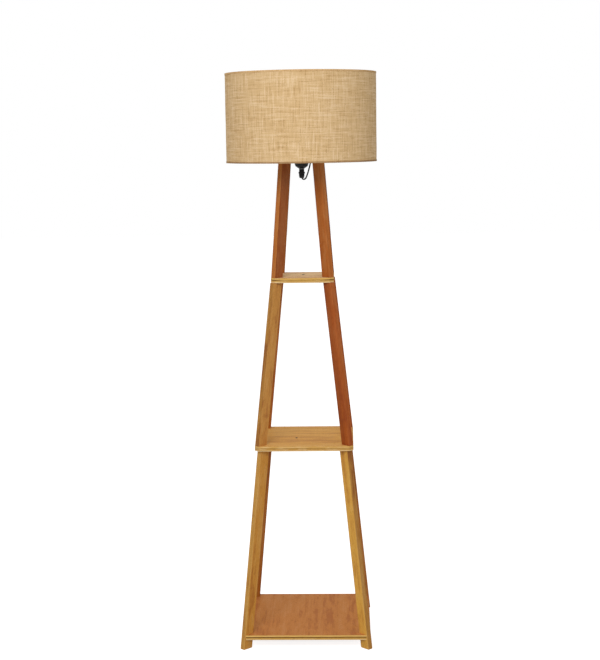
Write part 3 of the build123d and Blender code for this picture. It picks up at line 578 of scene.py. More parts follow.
@dataclass(frozen=True)
class PlyFinish:
    """Varnished veneer over plywood whose cut edges show their layers.

    The core is the strength of the edge's dark line, which gains core_at_ends towards the left and
    right, and the waves are that of its cream streaks. A knot is its x, y and radius in metres.
    """

    face: Tones
    way: GrainWay
    seed: float
    top: Colour = (226, 186, 110)
    gold: Colour = (206, 160, 82)
    cream: Colour = (240, 206, 150)
    dark: Colour = (104, 62, 22)
    core: float = 0.8
    core_at_ends: float = 0.0
    waves: float = 0.4
    figure: float = 0.25
    pores: float = 0.6
    roughness: float = 0.55
    gloss: float = 0.1
    # How far the outer edges of the shelf darken.
    arris_tint: float = 0.25
    relief: float = 0.00018
    knots: tuple[Place, ...] = ()
    knot_colour: Colour = (58, 30, 14)

    def knot(self, tree: Tree, place: Wire, centre: Place, radius: float) -> Wire:
        """Mask of a knot, drawn out from front to back, with a wavy rim.

        Args:
            tree: The material's nodes.
            place: Object coordinates.
            centre: Middle of the knot on the shelf's top.
            radius: Its radius.

        Returns:
            The mask.
        """
        offset = tree.vector("SUBTRACT", place, centre)
        reach = tree.vector("LENGTH", tree.vector("MULTIPLY", offset, (1.2, 0.5, 1.0)))
        wave = tree.weigh((tree.noise(place, 240.0), 0.0016), (1.0, -0.0008))
        rim = tree.step(tree.math("ADD", reach, wave), radius * 0.55, radius)
        return tree.times(tree.rest(rim), 0.95)

    def dress(self, name: str, bottom: float, thickness: float, width: float) -> Material:
        """Makes the material of one shelf.

        Args:
            name: The material's name.
            bottom: Height of the shelf's underside.
            thickness: The shelf's thickness.
            width: The shelf's width, which is also its depth.

        Returns:
            The material.
        """
        made = Surface.begin(name)
        tree, place = made.tree, made.coordinates["Object"]
        mapping = {"Vector": place, "Rotation": self.way.value}
        veneer = GRAIN.place(tree, Vector=tree.add("ShaderNodeMapping", mapping).outputs[0],
                             Seed=self.seed, Figure=self.figure, Pores=self.pores,
                             Roughness=self.roughness, **self.face.values())
        height = tree.split(place)[2]
        level = tree.math("DIVIDE", tree.math("SUBTRACT", height, bottom), thickness)
        aside = tree.math("ABSOLUTE", tree.split(place)[0])
        ends = tree.step(aside, width * 0.28, width * 0.42)
        edge = LAYERS.place(tree, Vector=place, Level=level, Top=linear(self.top),
                            Gold=linear(self.gold), Cream=linear(self.cream),
                            Dark=linear(self.dark), Waves=self.waves,
                            Core=tree.weigh((1.0, self.core), (ends, self.core_at_ends)))
        colour = veneer["Colour"]
        for x, y, radius in self.knots:
            mask = self.knot(tree, place, (x, y, bottom + thickness), radius)
            colour = tree.blend(mask, colour, linear(self.knot_colour))
        upright = tree.math("ABSOLUTE", tree.split(made.coordinates["Normal"])[2])
        side = tree.rest(tree.step(upright, 0.3, 0.75))
        colour = tree.blend(side, colour, edge["Colour"])
        corner = tree.split(tree.vector("ABSOLUTE", place))
        outer = tree.math("MAXIMUM", corner[0], corner[1])
        middle = tree.math("SUBTRACT", height, bottom + thickness / 2)
        arris = ARRIS.place(tree, Vector=tree.join(outer, middle, 0.0),
                            Half=(width / 2, thickness / 2, 0.0))["Mask"]
        # The outer top and bottom edges of the shelf are darkened.
        colour = tree.blend(tree.times(arris, self.arris_tint), colour, linear(self.dark))
        made.feed(Base_Color=colour, Roughness=veneer["Roughness"], Specular_IOR_Level=self.gloss)
        made.bump(tree.weigh((veneer["Height"], 0.5), (tree.times(edge["Height"], side), 1.0)),
                  self.relief, 0.6)
        return made.material


@dataclass(frozen=True)
class JuteFinish:
    """Natural jute, woven plain from uneven yarn."""

    tones: Tones
    fleck: Colour = (122, 88, 48)
    relief: float = 0.0002
    roughness: float = 0.8
    gloss: float = 0.08

    def dress(self, name: str) -> Material:
        """Makes the material, which reads the piece's UV map in metres and its slub attribute.

        Args:
            name: The material's name.

        Returns:
            The material.
        """
        made = Surface.begin(name)
        slub = made.tree.add("ShaderNodeAttribute", attribute_name="slub").outputs["Fac"]
        weave = WEAVE.place(made.tree, Vector=made.coordinates["UV"], Slub=slub,
                            Fleck=linear(self.fleck), **self.tones.values())
        made.feed(Base_Color=weave["Colour"], Roughness=self.roughness,
                  Specular_IOR_Level=self.gloss)
        made.bump(weave["Height"], self.relief, 0.8)
        return made.material


@dataclass(frozen=True)
class PlainFinish:
    """One colour, clouded by a second one."""

    colour: Colour
    tint: Colour
    roughness: float

    def lay(self, name: str, effect: Effect, relief: float) -> Surface:
        """Starts the material from its effect.

        Args:
            name: The material's name.
            effect: The node group to use.
            relief: Depth of the effect's height, in metres.

        Returns:
            The material under way.
        """
        made = Surface.begin(name)
        skin = effect.place(made.tree, Vector=made.coordinates["Object"],
                            Colour=linear(self.colour), Tint=linear(self.tint),
                            Roughness=self.roughness)
        made.feed(Base_Color=skin["Colour"], Roughness=skin["Roughness"])
        made.bump(skin["Height"], relief, 0.5)
        return made


@dataclass(frozen=True)
class SkinFinish(PlainFinish):
    """Moulded plastic, paint, glaze or rubber."""

    relief: float = 0.00004
    coat: float = 0.0
    gloss: float = 0.5

    def dress(self, name: str) -> Material:
        """Makes the material.

        Args:
            name: The material's name.

        Returns:
            The material.
        """
        made = self.lay(name, SKIN, self.relief)
        made.feed(Coat_Weight=self.coat, Coat_Roughness=0.12, Specular_IOR_Level=self.gloss)
        return made.material


@dataclass(frozen=True)
class MetalFinish(PlainFinish):
    """Bare or plated metal."""

    relief: float = 0.00002

    def dress(self, name: str) -> Material:
        """Makes the material.

        Args:
            name: The material's name.

        Returns:
            The material.
        """
        made = self.lay(name, METAL, self.relief)
        made.feed(Metallic=1.0)
        return made.material


JUTE = JuteFinish(Tones((238, 207, 165), (221, 186, 136), (190, 150, 99)), relief=0.00035)
# The lower hem's darker tones are painted shade along the cloth's bottom rim.
PAINTED_SHADE_TAPE = JuteFinish(Tones((196, 160, 118), (170, 134, 94), (138, 103, 68)))
HEM_TAPE = JuteFinish(Tones((232, 198, 150), (214, 174, 122), (184, 142, 90)))
FINISHES: dict[str, Union[SkinFinish, MetalFinish]] = {
    "black_plastic": SkinFinish((22, 20, 21), (30, 28, 29), 0.45, gloss=0.2),
    "cord_black": SkinFinish((9, 9, 9), (14, 13, 13), 0.65, gloss=0.05),
    # Its light grey is a painted highlight: it stands for a glint at the top of the cord grip.
    "grey_washer": SkinFinish((150, 150, 152), (172, 172, 174), 0.55),
    "ceramic_white": SkinFinish((226, 222, 212), (236, 234, 226), 0.22, coat=0.4),
    "bulb_opal": SkinFinish((238, 238, 232), (244, 244, 240), 0.25, relief=0.00001, coat=0.3),
    "white_liner": SkinFinish((238, 235, 226), (242, 240, 232), 0.6),
    "white_wire": SkinFinish((214, 214, 210), (226, 226, 222), 0.4),
    "beech": SkinFinish((204, 168, 118), (188, 150, 100), 0.6),
    "brass_contact": MetalFinish((206, 168, 92), (160, 122, 62), 0.25),
    "zinc_steel": MetalFinish((178, 178, 174), (140, 140, 138), 0.32),
    "black_steel": MetalFinish((44, 42, 42), (30, 29, 29), 0.45),
    "bulb_cap_metal": MetalFinish((206, 206, 208), (170, 170, 172), 0.28),
    "pin_metal": MetalFinish((212, 210, 204), (178, 176, 170), 0.18),
}


# ------------------------------------------------------------------ meshes
def shell_mesh(name: str, points: np.ndarray, closed_across: bool, flat: np.ndarray,
               sharp: float = 40.0) -> Piece:
    """Closed surface from a grid of points that goes all the way round in its first direction.

    The grid's second direction either closes on itself, as on a ring, or runs between two poles,
    which are then single points. The faces join each point to the next in both directions. If the
    volume inside, a sum of the corner triangles' triple products, is negative, they are reversed.

    Args:
        name: The object's name.
        points: Array of (round, across, 3), in metres.
        closed_across: Whether the second direction closes on itself.
        flat: Array of (round + 1, across + 1, 2) with the UV map in metres.
        sharp: Angle in degrees past which an edge is sharp.

    Returns:
        The object, at the origin.
    """
    around, across = points.shape[:2]
    spans = across if closed_across else across - 1
    i, j = np.meshgrid(np.arange(around), np.arange(spans), indexing="ij")
    ring = np.stack([i, i + 1, i + 1, i], -1), np.stack([j, j, j + 1, j + 1], -1)
    quads = ((ring[0] % around) * across + ring[1] % across).reshape(-1, 4)
    maps = np.stack([flat[ring[0], ring[1], 0], flat[ring[0], ring[1], 1]], -1)
    vertices = points.reshape(-1, 3)
    loops, sizes, coordinates = quads.ravel(), np.full(len(quads), 4), maps.reshape(-1, 2)
    if not closed_across:
        fans, fan_maps = [], []
        k = np.arange(around)
        for row, order in ((0, (0, 2, 1)), (across - 1, (0, 1, 2))):
            pole = np.full(around, len(vertices))
            fan = np.stack([pole, k * across + row, (k + 1) % around * across + row], -1)
            fans.append(fan[:, order].ravel())
            fan_map = np.stack([flat[k, row], flat[k, row], flat[k + 1, row]], 1)
            fan_maps.append(fan_map[:, order].reshape(-1, 2))
            vertices = np.vstack([vertices, points[:, row].mean(0)])
        loops = np.concatenate([loops, *fans])
        sizes = np.concatenate([sizes, np.full(2 * around, 3)])
        coordinates = np.concatenate([coordinates, *fan_maps])
    a, b, c, d = (vertices[quads[:, corner]] for corner in range(4))
    volume = (np.cross(a, b) * c).sum() + (np.cross(a, c) * d).sum()
    starts = np.concatenate([[0], np.cumsum(sizes)[:-1]])
    if volume < 0:
        owner = np.repeat(np.arange(len(sizes)), sizes)
        order = starts[owner] + sizes[owner] - 1 - (np.arange(len(loops)) - starts[owner])
        loops, coordinates = loops[order], coordinates[order]
    mesh = bpy.data.meshes.new(name)
    mesh.vertices.add(len(vertices))
    mesh.vertices.foreach_set("co", vertices.astype(np.float32).ravel())
    mesh.loops.add(len(loops))
    mesh.loops.foreach_set("vertex_index", loops.astype(np.int32))
    mesh.polygons.add(len(sizes))
    mesh.polygons.foreach_set("loop_start", starts.astype(np.int32))
    mesh.update(calc_edges=True)
    uv_map = mesh.uv_layers.new(name="flat")
    uv_map.data.foreach_set("uv", coordinates.astype(np.float32).ravel())
    mesh.validate()
    mesh.shade_smooth()
    mesh.set_sharp_from_angle(angle=math.radians(sharp))
    return show(name, mesh)


def show(name: str, data: bpy.types.ID) -> Piece:
    """Puts an object with the given mesh, curve, camera or light into the scene.

    Args:
        name: The object's name.
        data: What it shows.

    Returns:
        The object, at the origin.
    """
    made = bpy.data.objects.new(name, data)
    bpy.context.scene.collection.objects.link(made)
    return made


def eased(outline: Sequence[tuple[float, float]], radius: float, steps: int = 4) -> np.ndarray:
    """Closed outline whose corners are rounded off.

    Each corner becomes a parabola from a point short of it on one side to one on the other, both at
    the given distance or 0.45 of the side, whichever is less.

    Args:
        outline: Corners as (radius, height), in millimetres.
        radius: How far from the corner the curve starts, in millimetres.
        steps: Points on each curve, less one.

    Returns:
        Array of (points, 2), in millimetres.
    """
    corner = np.array(outline, float)
    ends = []
    for way in (1, -1):
        side = np.roll(corner, way, 0) - corner
        length = np.linalg.norm(side, axis=1, keepdims=True)
        ends.append((corner + side * np.minimum(radius / length, 0.45))[:, None])
    t = np.linspace(0, 1, steps + 1)[None, :, None]
    curve = ends[0] * (1 - t) ** 2 + corner[:, None] * 2 * t * (1 - t) + ends[1] * t**2
    return curve.reshape(-1, 2)


def turned(name: str, profile: np.ndarray, around: int, closed: bool = True,
           ripple: Optional[Ripple] = None, sharp: float = 40.0) -> Piece:
    """Surface of revolution about Z.

    A point is (r sin a, -r cos a, z) for the angle a, so that the UV map's seam is at the back.

    Args:
        name: The object's name.
        profile: Array of (radius, height), in millimetres.
        around: Points round the axis.
        closed: Whether the profile closes on itself. Otherwise its first and last rows are capped.
        ripple: Millimetres added to the radius, from arrays of the angle and of the profile.
        sharp: Angle in degrees past which an edge is sharp.

    Returns:
        The object.
    """
    angle = np.linspace(-math.pi, math.pi, around + 1)
    reach = np.broadcast_to(profile[None, :, 0], (around, len(profile))).copy()
    if ripple is not None:
        reach = reach + ripple(angle[:-1, None], profile[None])
    outward = np.stack([np.sin(angle[:-1]), -np.cos(angle[:-1])], -1)
    height = np.broadcast_to(profile[None, :, 1], reach.shape)
    points = np.concatenate([reach[..., None] * outward[:, None], height[..., None]], -1) * MM
    loop = np.vstack([profile, profile[:1]])
    run = np.concatenate([[0.0], np.cumsum(np.linalg.norm(np.diff(loop, axis=0), axis=1))])
    flat = np.stack(np.meshgrid(angle * profile[:, 0].max(), run, indexing="ij"), -1) * MM
    return shell_mesh(name, points, closed, flat, sharp)


def wall(reach: float, low: float, high: float, rows: int) -> np.ndarray:
    """Upright rows of a profile at one radius, from one height to another, in millimetres."""
    return np.stack([np.full(rows, reach), np.linspace(low, high, rows)], -1)


def ring_section(reach: float, height: float, radius: float, steps: int = 12) -> np.ndarray:
    """Round section of a wire ring, as a profile in millimetres."""
    angle = np.linspace(0, 2 * math.pi, steps, endpoint=False)
    return np.stack([reach + radius * np.cos(angle), height + radius * np.sin(angle)], -1)


def settle(piece: Piece, body: str, slot: str, material: Material, *nodes: str) -> Piece:
    """Gives a new piece its body and material, and hides the CAD nodes that it stands for.

    Args:
        piece: The piece.
        body: The body that it rides.
        slot: Not used.
        material: Its material.
        nodes: The CAD nodes that it stands for.

    Returns:
        The piece.
    """
    piece.data.materials.clear()
    piece.data.materials.append(material)
    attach(piece, body)
    if nodes:
        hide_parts(*nodes)
    log.info("%s rides on %s and stands for %s", piece.name, body, ", ".join(nodes) or "nothing")
    return piece


def coat(node: str, material: Material) -> None:
    """Puts a material on a CAD node in place of its plain one.

    Args:
        node: The node's name.
        material: The material.
    """
    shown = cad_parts[node]
    if not shown.material_slots:
        shown.data.materials.append(material)
    for slot in shown.material_slots:
        slot.material = material
    log.info("%s takes %s", node, material.name)


@dataclass
class Shop:
    """Keeps one material of each common finish."""

    made: dict[str, Material] = field(default_factory=dict)

    def get(self, name: str) -> Material:
        """The common material of a name, made when it is first asked for.

        Args:
            name: The finish's name.

        Returns:
            The material.
        """
        if name not in self.made:
            self.made[name] = FINISHES[name].dress(name)
        return self.made[name]


# ------------------------------------------------------------------ sub-assemblies
@dataclass
class Studio:
    """Pale floor, soft light and the camera at the photograph's viewpoint.

    The lamp is turned to the camera by the yaw. The camera looks down and aside by two angles, and
    its picture is rolled. Its focal length is in points of a picture of frame_height points. The
    floor lies a little below the feet, so that the two don't flicker.
    """

    distance: float = 3.4
    height: float = 1.2235
    yaw: float = math.radians(1.78)
    down: float = math.radians(7.86)
    aside: float = math.radians(-0.16)
    roll: float = math.radians(0.82)
    focal: float = 1406.0
    frame_height: float = 660.0
    sensor: float = 36.0
    aim: Place = (0.0, 0.0, 0.75)
    key_place: Place = (-0.8, -3.65, 3.05)
    key_size: float = 1.8
    key_power: float = 85.0
    fill_place: Place = (2.6, -2.6, 1.6)
    fill_size: float = 2.2
    fill_share: float = 0.1
    ambient: float = 0.52
    floor_reach: float = 14.0
    floor_drop: float = 0.0004
    floor_grey: float = 0.60
    floor_glow: float = 0.86

    def camera(self) -> None:
        """Sets the camera.

        Its forward and up are turned by the yaw, then rolled about the line of sight.
        """
        data = bpy.data.cameras.new("camera")
        data.sensor_width = self.sensor
        data.lens = self.focal * data.sensor_width / self.frame_height
        data.clip_start, data.clip_end = 0.05, 60.0
        turn = Matrix.Rotation(self.yaw, 3, "Z")
        level = math.cos(self.down)
        forward = turn @ Vector((math.sin(self.aside) * level, math.cos(self.aside) * level,
                                 -math.sin(self.down)))
        right = forward.cross(Vector((0.0, 0.0, 1.0))).normalized()
        up = right.cross(forward)
        rolled_up = up * math.cos(self.roll) + right * math.sin(self.roll)
        rolled_right = right * math.cos(self.roll) - up * math.sin(self.roll)
        turned_to = Matrix((rolled_right, rolled_up, -forward)).transposed().to_4x4()
        place = turn @ Vector((0.0, -self.distance, self.height))
        camera = show("camera", data)
        camera.matrix_world = Matrix.Translation(place) @ turned_to
        bpy.context.scene.camera = camera

    def lamp(self, name: str, place: Place, size: float, power: float) -> None:
        """Adds a square soft light that looks at the studio's aim.

        Args:
            name: The light's name.
            place: Where it stands.
            size: Its side.
            power: Its power in watts.
        """
        data = bpy.data.lights.new(name, "AREA")
        data.shape, data.size, data.energy = "SQUARE", size, power
        way = Vector(self.aim) - Vector(place)
        facing = way.to_track_quat("-Z", "Y").to_matrix().to_4x4()
        show(name, data).matrix_world = Matrix.Translation(place) @ facing

    def world(self) -> None:
        """Even grey light, seen as plain white by the camera and in reflections."""
        world = bpy.data.worlds.new("studio")
        world.use_nodes = True
        bpy.context.scene.world = world
        tree = Tree(world.node_tree)
        background = tree.nodes.nodes["Background"].inputs
        tree.feed((1.0, 1.0, 1.0, 1.0), background["Color"])
        strength = tree.weigh((tree.seen(), 1.0 - self.ambient), (1.0, self.ambient))
        tree.feed(strength, background["Strength"])

    def floor(self) -> None:
        """Large pale square, lifted to white so that only contact shadows show."""
        corners = np.array([(-1, -1, 0), (1, -1, 0), (1, 1, 0), (-1, 1, 0)], float)
        corners = corners * self.floor_reach - (0.0, 0.0, self.floor_drop)
        mesh = bpy.data.meshes.new("floor")
        mesh.from_pydata(corners.tolist(), [], [(0, 1, 2, 3)])
        made = Surface.begin("pale floor")
        made.feed(Base_Color=(self.floor_grey,) * 3 + (1.0,), Roughness=0.9,
                  Specular_IOR_Level=0.0, Emission_Color=(1.0, 1.0, 1.0, 1.0),
                  Emission_Strength=made.tree.times(made.tree.seen(), self.floor_glow))
        mesh.materials.append(made.material)
        floor = show("floor", mesh)

    def build(self) -> None:
        """Sets camera, lights, world and floor."""
        self.camera()
        self.world()
        self.floor()
        self.lamp("key", self.key_place, self.key_size, self.key_power)
        self.lamp("fill", self.fill_place, self.fill_size, self.key_power * self.fill_share)
        bpy.context.scene.view_settings.view_transform = "Standard"
        log.info("studio is set")


@dataclass
class Assembly:
    """A sub-assembly, with the shop of common finishes and the body that new pieces ride."""

    shop: Shop
    body: ClassVar[str] = "frame"

    def dress(self, finish: str, *nodes: str) -> None:
        """Puts one common finish on CAD nodes that stay."""
        for node in nodes:
            coat(node, self.shop.get(finish))

    def fit(self, piece: Piece, finish: str, *nodes: str) -> Piece:
        """Settles a new piece in a common finish."""
        return settle(piece, self.body, finish, self.shop.get(finish), *nodes)


@dataclass
class Board:
    """One leg board, in degrees and millimetres.

    The foot and the head are the height and the reach of its outer face at each end. The depth is
    towards the lamp's axis.
    """

    node: str
    angle: float
    foot: tuple[float, float]
    head: tuple[float, float]
    finish: BoardFinish
    depth: float = 26.0
    width: float = 14.0

    def dress(self) -> None:
        """Lays the finish along the board."""
        turn = Matrix.Rotation(math.radians(self.angle), 3, "Z")
        low, high = (turn @ Vector((reach - self.depth / 2, 0.0, height)) * MM
                     for height, reach in (self.foot, self.head))
        along = (high - low).normalized()
        side = turn @ Vector((0.0, 1.0, 0.0))
        axes = Matrix((side.cross(along), side, along)).transposed()
        half = (self.depth / 2 * along.z * MM, self.width / 2 * MM)
        coat(self.node, self.finish.dress(self.node, low, axes, half))


BROWN = Tones.around((152, 80, 32))
RED_BROWN = Tones.around((170, 86, 30))
RUST = Tones.around((178, 100, 38), 0.12)
AMBER = Tones.around((182, 108, 44))
ORANGE = Tones.around((176, 108, 40), 0.13)
GOLDEN = Tones.around((204, 143, 60), 0.12)
TAN = Tones.around((203, 145, 72), 0.12)
OLIVE = Tones.around((178, 124, 54), 0.15)
HONEY = Tones.around((200, 148, 70), 0.13)
STRAW = Tones.around((222, 168, 74), 0.09)
VENEER = Tones.around((234, 196, 142), 0.08)
BASE_VENEER = Tones.around((200, 130, 66), 0.08)
MIDDLE_VENEER = Tones.around((224, 168, 86), 0.08)


@dataclass
class Stand(Assembly):
    """Shelves, leg boards, and the fasteners in them.

    A corner is its direction in degrees, and a tier the foot and head of its boards.
    """

    thickness: float = 0.012
    corners: ClassVar[dict[str, float]] = {
        "front_left": 225.0, "front_right": 315.0, "back_left": 135.0, "back_right": 45.0}
    tiers: ClassVar[dict[str, tuple[tuple[float, float], tuple[float, float]]]] = {
        "lower": ((0.0, 218.5), (478.0, 152.0)),
        "middle": ((490.0, 159.9), (877.0, 102.0)),
        "upper": ((889.0, 99.1), (1180.0, 68.0)),
    }
    # Tones of each board's wide and narrow faces. They hold painted light and shade as well as the
    # wood's own colour: one face lighter than the other as the light falls, and the back left
    # boards made lighter to make up for their shade.
    boards: ClassVar[dict[tuple[str, str], BoardFinish]] = {
        ("lower", "front_left"): BoardFinish(GOLDEN, HONEY, 1.3),
        ("lower", "front_right"): BoardFinish(STRAW, OLIVE, 2.9),
        ("lower", "back_left"): BoardFinish(ORANGE, ORANGE, 4.1),
        ("lower", "back_right"): BoardFinish(ORANGE, GOLDEN, 5.7),
        ("middle", "front_left"): BoardFinish(TAN, OLIVE, 6.2),
        ("middle", "front_right"): BoardFinish(RED_BROWN, RED_BROWN, 7.8, heart=0.4),
        ("middle", "back_left"): BoardFinish(AMBER, AMBER, 8.4),
        ("middle", "back_right"): BoardFinish(RED_BROWN, RED_BROWN, 9.6),
        ("upper", "front_left"): BoardFinish(BROWN, AMBER, 10.5),
        ("upper", "front_right"): BoardFinish(RUST, RUST, 11.1, heart=0.2),
        ("upper", "back_left"): BoardFinish(AMBER, AMBER, 12.7),
        ("upper", "back_right"): BoardFinish(BROWN, BROWN, 13.3),
    }
    shelves: ClassVar[dict[str, PlyFinish]] = {
        "base_shelf": PlyFinish(BASE_VENEER, GrainWay.FRONT_TO_BACK, 21.0, top=(232, 188, 104),
                                gold=(206, 156, 74), core=1.0, waves=0.25),
        "middle_shelf": PlyFinish(MIDDLE_VENEER, GrainWay.SIDEWAYS, 22.0, top=(214, 166, 88),
                                  gold=(200, 150, 76), core=0.25, waves=0.6,
                                  knots=((-0.021, -0.020, 0.004),)),
        "upper_shelf": PlyFinish(VENEER, GrainWay.SIDEWAYS, 23.0, top=(222, 176, 92), core=0.3,
                                 core_at_ends=0.7, knots=((0.0, 0.008, 0.006),)),
        "top_plate": PlyFinish(VENEER, GrainWay.SIDEWAYS, 24.0),
    }

    def build(self) -> None:
        """Dresses every board, shelf and fastener."""
        for (tier, corner), finish in self.boards.items():
            foot, head = self.tiers[tier]
            Board(f"{tier}_leg_{corner}", self.corners[corner], foot, head, finish).dress()
        for node, finish in self.shelves.items():
            low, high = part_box(node)
            coat(node, finish.dress(node, low.z, self.thickness, high.x - low.x))
        self.dress("zinc_steel", "middle_shelf_screws", "upper_shelf_screws", "top_plate_screws")
        self.dress("beech", "base_dowels")


@dataclass
class Lampholder(Assembly):
    """Domed cap and ribbed cord grip under the top plate, and the holder above. Millimetres.

    A foot is the lowest height of a piece and a head its highest. The outlines go round each
    piece from its bore.
    """

    bore: float = 1.95
    bore_wall: float = 2.0
    nut_foot: float = 1123.0
    grip_foot: float = 1133.8
    grip_head: float = 1144.3
    cap_foot: float = 1145.8
    cap_head: float = 1192.0
    ring_foot: float = 1205.6
    ring_head: float = 1213.6
    ribs: int = 20
    rib_depth: float = 0.45
    finger_ribs: int = 24
    finger_depth: float = 0.9
    finger_reach: float = 26.0

    def ribbed(self, angle: np.ndarray, profile: np.ndarray) -> np.ndarray:
        """Ribs as a rectified cosine of the angle, on points well outside the bore."""
        rib = np.abs(np.cos(angle * self.ribs / 2))
        return -self.rib_depth * rib * (profile[..., 0] > self.bore + self.bore_wall)

    def finger_ribbed(self, angle: np.ndarray, profile: np.ndarray) -> np.ndarray:
        """Coarse ribs for the fingers, as the squared upper half of a cosine of the angle."""
        groove = np.maximum(np.cos(angle * self.finger_ribs), 0.0) ** 2
        return -self.finger_depth * groove * (profile[..., 0] > self.finger_reach)

    def build(self) -> None:
        """Makes the turned pieces and dresses the nodes that stay."""
        bore, foot, head = self.bore, self.cap_foot, self.cap_head
        cap = eased([(bore, foot), (6.6, foot), (14.9, 1151.4), (17.3, 1159.1), (17.3, head),
                     (15.5, head), (15.5, 1159.1), (6.6, 1148.8), (bore, 1148.8)], 2.2, 5)
        self.fit(turned("lampholder_cap", cap, 96), "black_plastic", "holder_cap")
        foot, head = self.grip_head, self.cap_foot
        # The washer's light grey paints the glint at the top of the grip.
        washer = eased([(bore, foot), (6.5, foot), (6.5, head), (bore, head)], 0.3)
        self.fit(turned("grip_ring", washer, 64), "grey_washer", "grip_washer")
        foot, head = self.grip_foot, self.grip_head
        grip = eased([(bore, foot), (7.7, foot), (7.7, 1137.8), (6.2, 1138.1), (6.2, head),
                      (bore, head)], 0.5)
        self.fit(turned("grip_collar", grip, 160, ripple=self.ribbed), "black_plastic",
                 "cord_grip_body")
        foot, head = self.nut_foot, self.grip_foot
        nut = eased([(bore, foot), (5.2, foot), (6.7, 1128.5), (6.7, head), (bore, head)], 0.6)
        self.fit(turned("grip_nut", nut, 160, ripple=self.ribbed), "black_plastic",
                 "cord_grip_nut")
        foot, head = self.ring_foot, self.ring_head
        ring = eased([(19.8, foot), (28.0, foot), (28.0, head), (19.8, head)], 0.8)
        settle(turned("shade_clamp_ring", ring, 288, ripple=self.finger_ribbed), "shade_clamp",
               "black_plastic", self.shop.get("black_plastic"), "shade_ring")
        self.dress("black_plastic", "holder_body")
        self.dress("black_steel", "cap_rivets")
        self.dress("zinc_steel", "flange_screws")
        self.dress("brass_contact", "screw_shell", "centre_contact", "terminal_screws")
        self.dress("ceramic_white", "insulator")


@dataclass
class Bulb(Assembly):
    """Opal bulb with a screw cap. Millimetres.

    The gap is half of that between two of its pieces. The pole is the radius at which a profile
    ends and a point closes it.
    """

    body: ClassVar[str] = "bulb"
    cap_foot: float = 1209.0
    cap_head: float = 1231.0
    cap_radius: float = 13.2
    neck_head: float = 1259.0
    gap: float = 0.05
    pole: float = 1.0
    globe_radius: float = 30.0
    globe_mouth: float = 20.0
    globe_centre: float = 1279.0
    thread_pitch: float = 3.6
    thread_depth: float = 0.7
    thread_foot: float = 1210.5
    thread_head: float = 1228.0
    thread_rows: int = 73

    def thread(self, angle: np.ndarray, profile: np.ndarray) -> np.ndarray:
        """Round thread: a cosine of the height less the turn's share of the pitch.

        It is faded over two millimetres at both ends.

        Args:
            angle: Angles round the axis.
            profile: Radius and height of the profile's points.

        Returns:
            Millimetres to add to the radius.
        """
        height = profile[..., 1]
        fade = (np.clip((height - self.thread_foot) / 2, 0, 1)
                * np.clip((self.thread_head - height) / 2, 0, 1))
        turns = height / self.thread_pitch - angle / (2 * math.pi)
        return -self.thread_depth * (0.5 - 0.5 * np.cos(2 * math.pi * turns)) * fade

    def build(self) -> None:
        """Makes the envelope, neck and cap.

        The envelope is a sphere's circle above a flat mouth. The neck's radius grows with the
        height as a quarter of a line and three quarters of a parabola.
        """
        pole, foot = self.pole, self.neck_head + self.gap
        rise = np.linspace(-math.asin(self.globe_mouth / self.globe_radius),
                           math.pi / 2 - 0.03, 40)
        dome = np.stack([self.globe_radius * np.cos(rise),
                         self.globe_centre + self.globe_radius * np.sin(rise)], -1)
        globe = np.vstack([[(pole, foot), (12.0, foot), (21.6, foot)], dome])
        self.fit(turned("bulb_envelope", globe, 96, closed=False, sharp=60.0), "bulb_opal",
                 "bulb_globe")
        foot, head = self.cap_head + self.gap, self.neck_head - self.gap
        up = np.linspace(0, 1, 18)
        flare = np.stack([13.4 + 8.9 * (0.25 * up + 0.75 * up**2), 1234.0 + 24.9 * up], -1)
        neck = np.vstack([[(pole, foot), (13.0, foot), (13.4, 1231.5)], flare, [(pole, head)]])
        self.fit(turned("bulb_base_neck", neck, 96, closed=False), "ceramic_white", "bulb_neck")
        foot, head = self.cap_foot, self.cap_head - self.gap
        side = wall(self.cap_radius, foot + 0.4, self.cap_head - 0.4, self.thread_rows)
        cap = np.vstack([[(pole, foot), (12.6, foot)], side, [(12.8, head), (pole, head)]])
        self.fit(turned("bulb_screw_cap", cap, 72, closed=False, ripple=self.thread, sharp=60.0),
                 "bulb_cap_metal", "bulb_cap")
        self.dress("ceramic_white", "bulb_button")
        self.dress("brass_contact", "bulb_tip")


